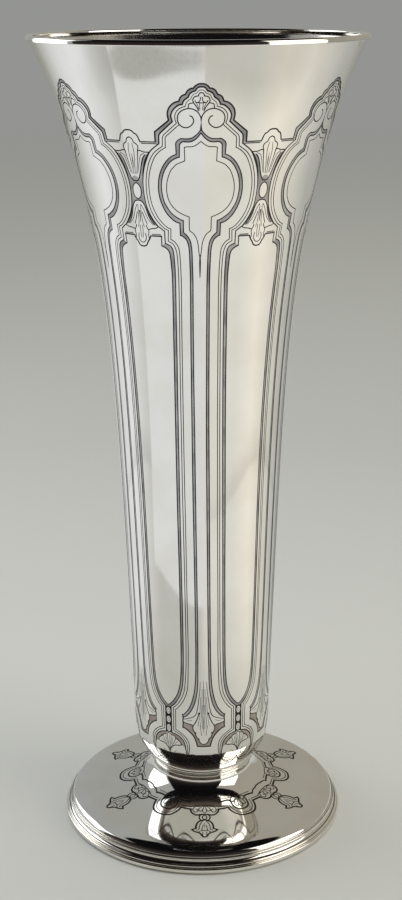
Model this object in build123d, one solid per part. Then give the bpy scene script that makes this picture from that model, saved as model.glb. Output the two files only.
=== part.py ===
from build123d import *
import os
from math import hypot

# Trumpet vase in sterling silver: a flared, open trumpet on a round domed foot.
# Millimetres, +Z up, origin on the floor at the centre of the foot.
# The pieces stack on one another, so every height below is a piece's own height.

# Sheet and solder
wall = 1.0                    # thickness of the silver sheet
solder_gap = 0.1              # room for solder round the closing disc

# Every bead is nearly half round: how far it stands out, as a share of half its height
bead_fullness_share = 0.95

# Base flange, the ring that the vase stands on
flange_radius = 64.9
flange_height = 2.75
flange_top_round = 1.8        # rounding of its upper outer edge
flange_bottom_round = 0.7     # rounding of its lower outer edge

# Cove moulding: a small bead at its foot, a hollow above
cove_height = 3.15
cove_bead_height = 1.4
cove_bead_setback = 1.6       # how far the bead's seat stands in from the flange's edge
cove_setback = 1.1            # how far the hollow's top stands in from the bead's seat
cove_depth = 0.4              # how far the hollow is cut in from a straight slope

# Reeded wire: two beads, the upper one smaller
reed_lower_height = 0.95
reed_upper_height = 0.75

# Foot dome: neck at the top, low dome, rounded shoulder at the edge
dome_height = 16.6
dome_edge_setback = 0.5       # how far the dome's edge stands in from the hollow's top
edge_ring_reach = 1.2         # how far the three edge rings reach in under the dome's edge
neck_radius = 22.1

# Collar wires between foot and trumpet
collar_reach = 2.1            # how far the collars reach in from the neck
collar_lower_height = 1.5
collar_upper_height = 2.6

# Trumpet wall
trumpet_height = 325.0
toe_overhang = 2.1            # how far its lower edge stands out over the neck
shoulder_swell = 6.8          # from the lower edge out to where the long taper starts
shoulder_rise = 16.7          # height of the shoulder above the trumpet's lower edge
mouth_radius = 69.8           # outside of the sheet under the lip

# Lip wire
lip_height = 2.3
lip_overhang = 1.25           # how far the wire stands out over the sheet
lip_inset = 0.55              # how far it stands in over the sheet
lip_outer_round = 1.05
lip_inner_round = 0.5

# Dome outline from the neck down: share of the way out, share of the dome's height
dome_shares = [
    (0.00, 1.00), (0.003, 0.86), (0.05, 0.702), (0.126, 0.563), (0.227, 0.442), (0.354, 0.351),
    (0.506, 0.279), (0.658, 0.227), (0.81, 0.184), (0.894, 0.152), (0.954, 0.107), (0.988, 0.055), (1.00, 0.00),
]

# Turned-in lower end: share of the shoulder's rise, share of the way out to the shoulder
toe_shares = [(0.00, 0.00), (0.12, 0.22), (0.28, 0.50), (0.46, 0.75), (0.64, 0.89), (0.82, 0.96), (1.00, 1.00)]

# Long taper and flare: part of the widening is even all the way up, the rest comes late
even_share = 0.30             # share of the widening that is even
flare_power = 5.2             # how late the rest comes
flare_steps = 20              # places where the outline is worked out

# Radii that follow from the flange's edge, and from the neck
cove_bead_seat_radius = flange_radius - cove_bead_setback
cove_top_radius = cove_bead_seat_radius - cove_setback
dome_edge_radius = cove_top_radius - dome_edge_setback
foot_bore_radius = dome_edge_radius - edge_ring_reach
collar_bore_radius = neck_radius - collar_reach
toe_radius = neck_radius + toe_overhang
shoulder_radius = toe_radius + shoulder_swell

# Heights where one piece rests on the next
flange_top = flange_height
cove_top = flange_top + cove_height
reed_middle = cove_top + reed_lower_height
reed_top = reed_middle + reed_upper_height
neck_top = reed_top + dome_height
collar_middle = neck_top + collar_lower_height
trumpet_base = collar_middle + collar_upper_height
trumpet_top = trumpet_base + trumpet_height
vase_height = trumpet_top + lip_height


def turned(edges):
    """Turn a closed outline, drawn as radius and height, about the vase's axis."""
    return revolve(Plane.XZ * make_face(edges), Axis.Z)


def widening(up):
    """Share of the way out to the mouth, at a share of the height above the shoulder."""
    return even_share * up + (1 - even_share) * up ** flare_power


def bead(radius, low, high):
    """Rounded edge that springs from one radius between two heights."""
    crest = radius + bead_fullness_share * (high - low) / 2
    return ThreePointArc((radius, low), (crest, (low + high) / 2), (radius, high))


def slope_at(points, i):
    """Unit direction of an outline at one of its points."""
    a = points[max(i - 1, 0)]
    b = points[min(i + 1, len(points) - 1)]
    length = hypot(b[0] - a[0], b[1] - a[1])
    return (b[0] - a[0]) / length, (b[1] - a[1]) / length


def inside_of(points, side):
    """The same outline moved one sheet thickness to its side, plus 1 or minus 1."""
    moved = []
    for i, (radius, height) in enumerate(points):
        across, up = slope_at(points, i)
        moved.append((radius - side * wall * up, height + side * wall * across))
    return moved


def flat_end(points, i):
    """Radius where the sheet's inside meets the level of an outline's end."""
    across, up = slope_at(points, i)
    return points[i][0] - wall / abs(up)


# Base flange
flange = Plane.XZ * Polyline(
    (foot_bore_radius, 0),
    (flange_radius, 0),
    (flange_radius, flange_top),
    (foot_bore_radius, flange_top),
    close=True,
)
flange_face = make_face(flange)
outer_corners = flange_face.vertices().group_by(Axis.X)[-1].sort_by(Axis.Z)
flange_face = fillet(outer_corners[-1], flange_top_round)
outer_corners = flange_face.vertices().group_by(Axis.X)[-1].sort_by(Axis.Z)
lowest_corner = flange_face.vertices().group_by(Axis.Z)[0].sort_by(Axis.X)[-1]
flange_face = fillet(lowest_corner, flange_bottom_round)
foot_base_flange = revolve(flange_face, Axis.Z)

# Cove moulding
cove_bead_top = flange_top + cove_bead_height
hollow_middle = (
    (cove_bead_seat_radius + cove_top_radius) / 2 - cove_depth,
    (cove_bead_top + cove_top) / 2,
)
foot_cove_moulding = turned([
    Line((foot_bore_radius, flange_top), (cove_bead_seat_radius, flange_top)),
    bead(cove_bead_seat_radius, flange_top, cove_bead_top),
    ThreePointArc((cove_bead_seat_radius, cove_bead_top), hollow_middle, (cove_top_radius, cove_top)),
    Line((cove_top_radius, cove_top), (foot_bore_radius, cove_top)),
    Line((foot_bore_radius, cove_top), (foot_bore_radius, flange_top)),
])

# Reeded wire: the lower bead springs from the cove's top edge, the upper from the dome's edge
foot_reeded_wire = turned([
    Line((foot_bore_radius, cove_top), (cove_top_radius, cove_top)),
    bead(cove_top_radius, cove_top, reed_middle),
    Line((cove_top_radius, reed_middle), (dome_edge_radius, reed_middle)),
    bead(dome_edge_radius, reed_middle, reed_top),
    Line((dome_edge_radius, reed_top), (foot_bore_radius, reed_top)),
    Line((foot_bore_radius, reed_top), (foot_bore_radius, cove_top)),
])

# Foot dome
dome_outside = [
    (neck_radius + out * (dome_edge_radius - neck_radius), reed_top + up * dome_height)
    for out, up in dome_shares
]
dome_inside = inside_of(dome_outside, -1)
dome_inside[0] = (flat_end(dome_outside, 0), neck_top)
dome_inside[-1] = (dome_edge_radius - wall, reed_top)
foot_dome = turned([
    Spline(*dome_outside),
    Line(dome_outside[-1], dome_inside[-1]),
    Spline(*reversed(dome_inside)),
    Line(dome_inside[0], dome_outside[0]),
])

# Collar wires
collar_wire_lower = turned([
    Line((collar_bore_radius, neck_top), (neck_radius, neck_top)),
    bead(neck_radius, neck_top, collar_middle),
    Line((neck_radius, collar_middle), (collar_bore_radius, collar_middle)),
    Line((collar_bore_radius, collar_middle), (collar_bore_radius, neck_top)),
])
collar_wire_upper = turned([
    Line((collar_bore_radius, collar_middle), (neck_radius, collar_middle)),
    bead(neck_radius, collar_middle, trumpet_base),
    Line((neck_radius, trumpet_base), (collar_bore_radius, trumpet_base)),
    Line((collar_bore_radius, trumpet_base), (collar_bore_radius, collar_middle)),
])

# Trumpet wall: its lower end turns in to a flat ledge that lies on the collar
shoulder = trumpet_base + shoulder_rise
trumpet_outside = [
    (toe_radius + out * (shoulder_radius - toe_radius), trumpet_base + up * shoulder_rise)
    for up, out in toe_shares
]
for step in range(1, flare_steps + 1):
    up = step / flare_steps
    trumpet_outside.append((
        shoulder_radius + widening(up) * (mouth_radius - shoulder_radius),
        shoulder + up * (trumpet_top - shoulder),
    ))
trumpet_inside = inside_of(trumpet_outside, 1)
ledge_top = trumpet_base + wall
toe_across, toe_up = slope_at(trumpet_outside, 0)
ledge_corner_radius = flat_end(trumpet_outside, 0) + wall * toe_across / toe_up
trumpet_inside[0] = (ledge_corner_radius, ledge_top)
trumpet_inside[-1] = (flat_end(trumpet_outside, len(trumpet_outside) - 1), trumpet_top)
trumpet_wall = turned([
    Line((collar_bore_radius, trumpet_base), trumpet_outside[0]),
    Spline(*trumpet_outside),
    Line(trumpet_outside[-1], trumpet_inside[-1]),
    Spline(*reversed(trumpet_inside)),
    Line(trumpet_inside[0], (collar_bore_radius, ledge_top)),
    Line((collar_bore_radius, ledge_top), (collar_bore_radius, trumpet_base)),
])

# Closing disc on the ledge, so that the trumpet holds water
disc_radius = ledge_corner_radius - solder_gap
bottom_disc = Pos(0, 0, ledge_top) * Cylinder(
    disc_radius, wall, align=(Align.CENTER, Align.CENTER, Align.MIN)
)

# Lip wire on the trumpet's cut edge
lip_inner_radius = trumpet_inside[-1][0] - lip_inset
lip_outer_radius = mouth_radius + lip_overhang
lip_face = make_face(Plane.XZ * Polyline(
    (lip_inner_radius, trumpet_top),
    (lip_outer_radius, trumpet_top),
    (lip_outer_radius, vase_height),
    (lip_inner_radius, vase_height),
    close=True,
))
lip_face = fillet(lip_face.vertices().group_by(Axis.X)[-1], lip_outer_round)
lip_face = fillet(lip_face.vertices().group_by(Axis.X)[0], lip_inner_round)
lip_wire = revolve(lip_face, Axis.Z)

pieces = {
    "foot_base_flange": foot_base_flange,
    "foot_cove_moulding": foot_cove_moulding,
    "foot_reeded_wire": foot_reeded_wire,
    "foot_dome": foot_dome,
    "collar_wire_lower": collar_wire_lower,
    "collar_wire_upper": collar_wire_upper,
    "trumpet_wall": trumpet_wall,
    "bottom_disc": bottom_disc,
    "lip_wire": lip_wire,
}
os.makedirs("parts", exist_ok=True)
for name, piece in pieces.items():
    export_step(piece, f"parts/{name}.step")
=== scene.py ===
"""Looks of a silver trumpet vase with etched strapwork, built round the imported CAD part."""

import math

import bpy
import numpy as np
from bpy.props import FloatProperty, FloatVectorProperty, IntProperty, PointerProperty
from mathutils import Matrix, Vector
from mathutils.geometry import delaunay_2d_cdt


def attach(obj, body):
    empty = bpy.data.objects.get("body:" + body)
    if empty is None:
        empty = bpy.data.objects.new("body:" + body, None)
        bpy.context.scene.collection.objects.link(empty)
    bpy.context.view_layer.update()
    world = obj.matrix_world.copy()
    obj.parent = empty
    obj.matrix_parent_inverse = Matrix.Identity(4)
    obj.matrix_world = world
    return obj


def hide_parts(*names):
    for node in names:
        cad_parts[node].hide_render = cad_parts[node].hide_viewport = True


bl_info = {
    "name": "Etched trumpet vase",
    "version": (1, 0, 0),
    "blender": (4, 5, 0),
    "location": "View3D > Sidebar > Vase",
    "description": "Builds the polished and etched pieces of a silver trumpet vase and its photo stage",
    "category": "Object",
}

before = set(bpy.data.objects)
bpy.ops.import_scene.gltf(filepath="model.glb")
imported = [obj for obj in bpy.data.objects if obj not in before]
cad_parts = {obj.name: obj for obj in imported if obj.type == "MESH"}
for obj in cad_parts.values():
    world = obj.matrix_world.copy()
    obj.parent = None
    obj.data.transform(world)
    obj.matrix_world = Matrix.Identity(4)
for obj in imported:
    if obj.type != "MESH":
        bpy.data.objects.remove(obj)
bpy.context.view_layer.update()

MM = 0.001


# Settings


def linear(hex_colour):
    """A colour written as an sRGB hex value, as the linear colour that the shaders take."""
    values = [int(hex_colour[i:i + 2], 16) / 255 for i in (1, 3, 5)]
    return [v / 12.92 if v <= 0.04045 else ((v + 0.055) / 1.055) ** 2.4 for v in values] + [1.0]


def colour(name, description, hex_colour):
    """A setting that holds a colour."""
    return FloatVectorProperty(name=name, description=description, subtype="COLOR", size=4, min=0, max=1,
                               default=linear(hex_colour))


class VaseSizes(bpy.types.PropertyGroup):
    """Real sizes of the vase, from the floor up."""

    flange_radius: FloatProperty(
        name="Flange radius", description="Outer radius of the base flange, mm", default=64.9)
    flange_height: FloatProperty(
        name="Flange height", description="Height of the base flange, mm", default=2.75)
    cove_height: FloatProperty(
        name="Cove height", description="Height of the cove moulding, mm", default=3.15)
    cove_bead_height: FloatProperty(
        name="Cove bead height", description="Height of the bead under the cove's hollow, mm", default=1.4)
    reed_lower_height: FloatProperty(
        name="Lower reed", description="Height of the lower bead of the reeded wire, mm", default=0.95)
    reed_upper_height: FloatProperty(
        name="Upper reed", description="Height of the upper bead of the reeded wire, mm", default=0.75)
    dome_height: FloatProperty(
        name="Dome height", description="Height of the foot's dome with its neck, mm", default=16.6)
    neck_radius: FloatProperty(
        name="Neck radius", description="Radius of the foot's neck under the collar wires, mm", default=22.1)
    collar_lower_height: FloatProperty(
        name="Lower collar", description="Height of the lower collar wire, mm", default=1.5)
    collar_upper_height: FloatProperty(
        name="Upper collar", description="Height of the upper collar wire, mm", default=2.6)
    trumpet_height: FloatProperty(
        name="Trumpet height", description="Height of the sheet silver trumpet, mm", default=325.0)
    cove_bead_setback: FloatProperty(
        name="Cove bead setback", description="How far the cove's bead sits in from the flange's edge, mm",
                                     default=1.6)
    cove_setback: FloatProperty(
        name="Cove setback", description="How far the hollow's top stands in from the bead's seat, mm",
                                default=1.1)
    cove_depth: FloatProperty(
        name="Cove depth", description="How far the hollow is cut in from a straight slope, mm", default=0.4)
    dome_edge_setback: FloatProperty(
        name="Dome edge setback", description="How far the dome's edge stands in from the hollow's top, mm",
                                     default=0.5)
    edge_ring_reach: FloatProperty(
        name="Edge ring reach", description="How far the edge rings reach in under the dome's edge, mm",
                                   default=1.2)
    collar_reach: FloatProperty(
        name="Collar reach", description="How far the collars reach in from the neck, mm", default=2.1)
    flange_bottom_round: FloatProperty(
        name="Flange bottom rounding", description="Rounding of its lower outer edge, mm", default=1.5)
    flange_top_round: FloatProperty(
        name="Flange top rounding", description="Rounding of its upper outer edge, mm", default=0.6)
    toe_radius: FloatProperty(
        name="Toe radius", description="Radius of the trumpet's turned-in lower edge, mm", default=24.2)
    shoulder_radius: FloatProperty(
        name="Shoulder radius", description="Radius where the turned-in end meets the long taper, mm",
                                   default=31.0)
    shoulder_rise: FloatProperty(
        name="Shoulder rise", description="Height of that place above the trumpet's lower edge, mm",
                                 default=16.7)
    mouth_radius: FloatProperty(
        name="Mouth radius", description="Outer radius of the sheet under the lip wire, mm", default=69.8)
    lip_overhang: FloatProperty(
        name="Lip overhang", description="How far the lip wire stands out over the sheet, mm", default=1.25)
    lip_inset: FloatProperty(
        name="Lip inset", description="How far the lip wire stands in over the sheet, mm", default=0.55)
    lip_outer_round: FloatProperty(
        name="Lip outer rounding", description="Rounding of its upper outer edge, mm", default=1.05)
    lip_under_round: FloatProperty(
        name="Lip under rounding", description="Rounding of its lower outer edge, mm", default=0.4)
    lip_inner_round: FloatProperty(
        name="Lip inner rounding", description="Rounding of its two inner edges, mm", default=0.5)
    disc_radius: FloatProperty(
        name="Disc radius", description="Radius of the closing disc, mm", default=23.6)
    disc_round: FloatProperty(
        name="Disc rounding", description="Rounding of the disc's edge where the solder runs, mm",
                              default=0.4)
    disc_dish: FloatProperty(
        name="Disc dish", description="How far the middle of the closing disc is dished, mm", default=0.15)
    even_share: FloatProperty(
        name="Even share", description="Share of the trumpet's widening that is even all the way up",
                              default=0.30)
    flare_power: FloatProperty(
        name="Flare power", description="How late the rest of the widening comes", default=5.2)
    lip_height: FloatProperty(
        name="Lip height", description="Height of the lip wire, mm", default=2.3)
    sheet: FloatProperty(
        name="Sheet", description="Thickness of the sheet silver, mm", default=1.0)


class EtchingSettings(bpy.types.PropertyGroup):
    """How the etched ornament is cut."""

    line_depth: FloatProperty(
        name="Line depth", description="Depth of an etched line, mm", default=0.14)
    ground_depth: FloatProperty(
        name="Ground depth", description="Depth of the matted grounds and channels, mm", default=0.07)
    repeats: IntProperty(
        name="Repeats", description="How many times the pattern goes round", default=6)
    turn: FloatProperty(
        name="Turn", description="Turn of the trumpet's pattern from the front, degrees", default=1.245)


class FinishColours(bpy.types.PropertyGroup):
    """Colours of the silver's finishes, the brighter and the duller tone of each."""

    polished_bright: colour("Polished, bright", "Raised surface where it is brightest", "#F3F2EE")
    polished_dull: colour("Polished, dull", "Raised surface where it is dullest", "#ECEAE4")
    wire_bright: colour("Wires, bright", "Wires and mouldings where they are brightest", "#F5F3EE")
    wire_dull: colour("Wires, dull", "Wires and mouldings where they are dullest", "#EAE6DC")
    inside_bright: colour("Inside, bright", "Inside of the sheet where it is brightest", "#EBEAE7")
    inside_dull: colour("Inside, dull", "Inside of the sheet where it is dullest", "#D6D4CF")
    cut_worn: colour("Cuts, worn", "Blackened lines where the black is rubbed", "#2A2521")
    cut_black: colour("Cuts, black", "Blackened lines where they are darkest", "#0B0A09")
    channel_pale: colour("Channels, pale", "Channels between two lines where they are palest", "#C6C5C4")
    channel_grey: colour("Channels, grey", "Channels between two lines where they are greyest", "#8E8D8F")
    ground_pale: colour("Grounds, pale", "Brown grounds behind the leaves where they are palest", "#C3BAB2")
    ground_brown: colour("Grounds, brown", "Brown grounds behind the leaves where they are darkest",
                         "#9D928A")


class StageSettings(bpy.types.PropertyGroup):
    """Camera, table and lights of the photograph."""

    lens: FloatProperty(
        name="Lens", description="Focal length, mm on a sensor 36 mm tall", default=61.11)
    camera_back: FloatProperty(
        name="Camera distance", description="From the vase's axis to the lens, level, mm", default=652.34)
    camera_height: FloatProperty(
        name="Camera height", description="Of the lens over the table, mm", default=377.07)
    pitch: FloatProperty(
        name="Pitch", description="How far the camera looks down, degrees", default=17.138)
    roll: FloatProperty(
        name="Roll", description="Tilt of the camera to its side, degrees", default=-0.299)
    yaw: FloatProperty(
        name="Yaw", description="How far the camera looks to the right of the axis, degrees", default=0.024)
    # Tones of the paper by reach from the vase, as painted light and shade: light near it, shade behind it,
    # light again far off
    paper_near_painted_light: colour("Paper", "The paper that the vase stands on", "#D6D8D5")
    paper_mid_painted_shade: colour("Middle paper", "The same paper behind the vase", "#C9CBC8")
    paper_far_painted_light: colour("Far paper", "The same paper metres away", "#CFD1CC")
    haze: colour("Backdrop", "What the paper fades into far behind, as the camera sees it", "#949592")
    air_left: colour("Room, left", "What the silver mirrors to its left, between lamps and cards", "#A3A5A3")
    air_right: colour("Room, right", "What the silver mirrors to its right, between lamps and cards",
                      "#A29D91")
    tone_left: colour("Surroundings, left", "What the silver mirrors to the left, in cool daylight",
                      "#EDEFF1")
    tone_right: colour("Surroundings, right", "What the silver mirrors to the right, in warm light",
                       "#F7F1E4")
    tone_front: colour("Surroundings, front", "What the silver mirrors in front, low down", "#C6C6C2")
    tone_front_right: colour("Surroundings, front right",
                             "What the silver mirrors to the right of the camera", "#E4E2DB")
    tone_back: colour("Surroundings, back", "What the silver mirrors behind the vase", "#B8B8B4")
    tone_card: colour("Card", "The pale cool card that lies in front", "#E2E3E3")
    near_strength: FloatProperty(
        name="Near strength", description="Strength of the surroundings' light where it is seen steeply",
        default=0.76)
    dark_table: colour("Dark, lowest", "The unlit room, level with the table", "#6B5F55")
    dark_low: colour("Dark, low", "The unlit room, a little over the table", "#564C45")
    dark_middle: colour("Dark, middle", "The unlit room, about level with the vase's rim", "#2B2725")
    dark_high: colour("Dark, high", "The unlit room, over the vase", "#1A1819")
    dark_top: colour("Dark, top", "The unlit room, near its ceiling", "#0C0B0D")


SIZES = ("vase_sizes", VaseSizes)
ETCHING = ("vase_etching", EtchingSettings)
FINISH = ("vase_finish", FinishColours)
STAGE = ("vase_stage", StageSettings)


def sizes():
    return bpy.context.scene.vase_sizes


def etching():
    return bpy.context.scene.vase_etching


def finish():
    return bpy.context.scene.vase_finish


# Outlines


# Trumpet from its lower edge up: share of the shoulder's rise, share of the way out to the shoulder
TOE_SHARES = [(0.00, 0.00), (0.12, 0.22), (0.28, 0.50), (0.46, 0.75), (0.64, 0.89), (0.82, 0.96),
              (1.00, 1.00)]

# Places where the long taper and flare are worked out
FLARE_STEPS = 20

# Dome from the neck down: share of the way out, share of the dome's height
DOME_SHARES = [
    (0.00, 1.00), (0.003, 0.86), (0.05, 0.702), (0.126, 0.563), (0.227, 0.442), (0.354, 0.351),
    (0.506, 0.279), (0.658, 0.227), (0.81, 0.184), (0.894, 0.152), (0.954, 0.107), (0.988, 0.055),
               (1.00, 0.00),
]


def spline(points, count):
    """Natural cubic spline through points, by chord length, as evenly spaced points along it."""
    p = np.array(points, float)
    chord = np.hypot(*np.diff(p, axis=0).T)
    t = np.concatenate([[0.0], np.cumsum(chord)])
    n = len(p)
    a = np.zeros((n, n))
    b = np.zeros((n, 2))
    a[0, 0] = a[-1, -1] = 1.0
    for i in range(1, n - 1):
        h0, h1 = chord[i - 1], chord[i]
        a[i, i - 1:i + 2] = h0, 2 * (h0 + h1), h1
        b[i] = 6 * ((p[i + 1] - p[i]) / h1 - (p[i] - p[i - 1]) / h0)
    bend = np.linalg.solve(a, b)
    s = np.linspace(0.0, t[-1], count)
    i = np.clip(np.searchsorted(t, s) - 1, 0, n - 2)
    h = chord[i][:, None]
    u = ((s - t[i]) / chord[i])[:, None]
    v = 1 - u
    return v * p[i] + u * p[i + 1] + h * h / 6 * ((v ** 3 - v) * bend[i] + (u ** 3 - u) * bend[i + 1])


class Outline:
    """A turned outline, radius and height in mm, that is asked by its own length or by height or radius."""

    def __init__(self, points, count=4000):
        self.p = spline(points, count)
        self.s = np.concatenate([[0.0], np.cumsum(np.hypot(*np.diff(self.p, axis=0).T))])
        along = np.gradient(self.p, self.s, axis=0)
        along /= np.hypot(*along.T)[:, None]
        # outward normal of an outline that runs up the outside
        self.n = np.stack([along[:, 1], -along[:, 0]], 1)
        self.length = self.s[-1]

    def at(self, s):
        """Radius, height, and the normal's two parts at lengths s."""
        return tuple(np.interp(s, self.s, column) for column in (*self.p.T, *self.n.T))

    def length_at_height(self, z):
        return np.interp(z, self.p[:, 1], self.s)

    def length_at_radius(self, r):
        """For the dome's outline, which runs from its edge up and in to the neck."""
        widest = self.p[:, 0].argmax()
        return np.interp(-np.asarray(r, float), -self.p[widest:, 0], self.s[widest:])


class Levels:
    """Heights and radii where the pieces meet, mm."""

    def __init__(self):
        v = sizes()
        self.flange_top = v.flange_height
        self.cove_top = self.flange_top + v.cove_height
        self.reed_middle = self.cove_top + v.reed_lower_height
        self.reed_top = self.reed_middle + v.reed_upper_height
        self.neck_top = self.reed_top + v.dome_height
        self.collar_middle = self.neck_top + v.collar_lower_height
        self.trumpet_base = self.collar_middle + v.collar_upper_height
        self.trumpet_top = self.trumpet_base + v.trumpet_height
        self.vase_height = self.trumpet_top + v.lip_height
        self.cove_bead_seat = v.flange_radius - v.cove_bead_setback
        self.cove_top_radius = self.cove_bead_seat - v.cove_setback
        self.dome_edge = self.cove_top_radius - v.dome_edge_setback
        self.foot_bore = self.dome_edge - v.edge_ring_reach
        self.collar_bore = v.neck_radius - v.collar_reach


def widening(up):
    """Share of the way out to the mouth, at a share of the height above the shoulder."""
    v = sizes()
    return v.even_share * up + (1 - v.even_share) * up ** v.flare_power


def trumpet_points():
    v, at = sizes(), Levels()
    shoulder = at.trumpet_base + v.shoulder_rise
    points = [(v.toe_radius + out * (v.shoulder_radius - v.toe_radius),
               at.trumpet_base + up * v.shoulder_rise)
              for up, out in TOE_SHARES]
    for up in np.arange(1, FLARE_STEPS + 1) / FLARE_STEPS:
        points.append((v.shoulder_radius + widening(up) * (v.mouth_radius - v.shoulder_radius),
                       shoulder + up * (at.trumpet_top - shoulder)))
    return points


def dome_points():
    v, at = sizes(), Levels()
    points = [(v.neck_radius + out * (at.dome_edge - v.neck_radius), at.reed_top + up * v.dome_height)
              for out, up in DOME_SHARES]
    return points[::-1]


# Etched pattern


def crossed(a, b):
    """How far b turns to the left of a."""
    return a[..., 0] * b[..., 1] - a[..., 1] * b[..., 0]


def through(points):
    """A smooth path through a few points, as a close row of points."""
    p = np.array(points, float)
    if len(p) == 2:
        return p
    steps = []
    ends = np.vstack([2 * p[0] - p[1], p, 2 * p[-1] - p[-2]])
    for i in range(1, len(ends) - 2):
        p0, p1, p2, p3 = ends[i - 1:i + 3]
        k0, k1, k2 = (max(np.hypot(*(b - a)), 1e-6) ** 0.5 for a, b in ((p0, p1), (p1, p2), (p2, p3)))
        m1 = ((p1 - p0) / k0 - (p2 - p0) / (k0 + k1) + (p2 - p1) / k1) * k1
        m2 = ((p2 - p1) / k1 - (p3 - p1) / (k1 + k2) + (p3 - p2) / k2) * k1
        u = np.linspace(0, 1, max(3, int(np.hypot(*(p2 - p1)) / 0.2)), endpoint=False)[:, None]
        steps.append((2 * u ** 3 - 3 * u ** 2 + 1) * p1 + (u ** 3 - 2 * u ** 2 + u) * m1
                     + (3 * u ** 2 - 2 * u ** 3) * p2 + (u ** 3 - u ** 2) * m2)
    return np.vstack([*steps, p[-1:]])


def thinned(path, tolerance=0.012, longest=4.0):
    """The same path with fewer points, none further off than the tolerance."""
    stack = [(0, len(path) - 1)]
    marks = {0, len(path) - 1}
    while stack:
        a, b = stack.pop()
        if b - a < 2:
            continue
        chord = path[b] - path[a]
        span = max(np.hypot(*chord), 1e-9)
        off = np.abs(crossed(chord, path[a + 1:b] - path[a])) / span
        worst = int(off.argmax())
        if off[worst] > tolerance or span > longest:
            middle = a + 1 + worst if off[worst] > tolerance else (a + b) // 2
            marks.add(middle)
            stack += [(a, middle), (middle, b)]
    return path[sorted(marks)]


def split_long(path, longest=4.0):
    """Straight stretches get points in between, so that they follow the turned surface."""
    out = [path[0]]
    for a, b in zip(path[:-1], path[1:]):
        pieces = max(1, math.ceil(np.hypot(*(b - a)) / longest))
        out += [a + (b - a) * k / pieces for k in range(1, pieces + 1)]
    return np.array(out)


def path_of(runs):
    """Joins smooth runs, with a corner where one ends and the next starts."""
    parts = []
    for run in runs:
        part = split_long(thinned(through(run)))
        parts.append(part if not parts else part[1:])
    return np.vstack(parts)


class Pattern:
    """Painted in order on half a repeat: the last shape over a place decides what is there.

    Places are (across, up) in mm. "across" is measured round the surface from the repeat's
    middle line, or from the line between two repeats and back towards it.
    """

    TOP, LINE, CHANNEL, GROUND = range(4)

    def __init__(self, to_plane):
        self.to_plane = to_plane
        self.faces = []
        self.kinds = []

    def _add(self, corners, kind):
        area = 0.5 * np.sum(crossed(corners, np.roll(corners, -1, axis=0)))
        if abs(area) < 1e-5:
            return
        self.faces.append(corners if area > 0 else corners[::-1])
        self.kinds.append(kind)

    def line(self, width, *runs, between=False, kind=LINE):
        """A cut of one width, or of a row of widths spread evenly along it."""
        path = path_of(runs)
        length = np.concatenate([[0.0], np.cumsum(np.hypot(*np.diff(path, axis=0).T))])
        row = np.atleast_1d(width)
        half = 0.5 * np.interp(length / length[-1], np.linspace(0, 1, len(row)), row)
        step = np.diff(path, axis=0)
        step /= np.hypot(*step.T)[:, None]
        before, after = np.vstack([step[:1], step]), np.vstack([step, step[-1:]])
        mean = before + after
        mean /= np.maximum(np.hypot(*mean.T), 1e-6)[:, None]
        stretch = 1 / np.clip(np.sum(mean * after, axis=1), 0.6, 1)
        side = np.stack([-mean[:, 1], mean[:, 0]], 1) * (half * stretch)[:, None]
        # square ends, half a width beyond the last point
        ends = path.copy()
        ends[0] -= step[0] * half[0]
        ends[-1] += step[-1] * half[-1]
        left = self.to_plane(ends + side, between)
        right = self.to_plane(ends - side, between)
        for i in range(len(path) - 1):
            quad = np.array([right[i], right[i + 1], left[i + 1], left[i]])
            sides = np.roll(quad, -1, axis=0) - quad
            turns = crossed(sides, np.roll(sides, -1, axis=0))
            if turns.min() > 0 or turns.max() < 0:
                self._add(quad, kind)
            else:
                self._add(quad[[0, 1, 2]], kind)
                self._add(quad[[0, 2, 3]], kind)

    def lines(self, width, *many, between=False):
        """Several cuts of one width, each a single smooth run."""
        for run in many:
            self.line(width, run, between=between)

    def area(self, kind, *runs, between=False):
        """A filled shape inside a closed outline."""
        last, first = runs[-1][-1], runs[0][0]
        if tuple(last) != tuple(first):
            runs = [*runs, [last, first]]
        path = path_of(runs)
        self._add(self.to_plane(path[:-1], between), kind)

    def dot(self, kind, x, z, rx, rz=None, between=False):
        """A round or oval spot."""
        rz = rz or rx
        turn = np.linspace(0, 2 * np.pi, 20 if max(rx, rz) > 0.7 else 12, endpoint=False)
        self._add(self.to_plane(np.stack([x + rx * np.cos(turn), z + rz * np.sin(turn)], 1), between), kind)


def half_repeat(pattern, width, low, high, columns, rows):
    """Triangles of half a repeat, with the kind of surface on each.

    The plane runs from 0 to width and from low to high. A loose grid carries the turned form
    between the cuts. Edge columns are fixed, so that mirrored copies meet point to point.
    """
    xs = np.linspace(0, width, columns + 1)
    ys = np.concatenate([[low], rows, [high]])
    points, edges, faces = [], [], []

    def add(row, closed):
        start = len(points)
        points.extend(map(tuple, row))
        count = len(row)
        edges.extend((start + i, start + (i + 1) % count) for i in range(count if closed else count - 1))

    corners = [(x, low) for x in xs[:-1]] + [(width, y) for y in ys[:-1]]
    corners += [(x, high) for x in xs[:0:-1]] + [(0, y) for y in ys[:0:-1]]
    add(corners, True)
    for y in ys[1:-1]:
        points.extend((x, y) for x in xs[1:-1])
    for outline in pattern.faces:
        start = len(points)
        points.extend(map(tuple, outline))
        faces.append(list(range(start, start + len(outline))))
    verts, _, made, _, _, source = delaunay_2d_cdt(
        [Vector(p) for p in points], edges, faces, 0, 1e-6, True)
    verts = np.array([tuple(v) for v in verts])
    triangles, kinds = [], []
    for face, origin in zip(made, source):
        centre = verts[list(face)].mean(0)
        if 0 < centre[0] < width and low < centre[1] < high:
            triangles.append(face)
            kinds.append(pattern.kinds[max(origin)] if origin else Pattern.TOP)
    return verts, np.array(triangles), np.array(kinds)


DEPTH_CLASS = {Pattern.TOP: 0, Pattern.LINE: 2, Pattern.CHANNEL: 1, Pattern.GROUND: 1}
WALL = 4


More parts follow.
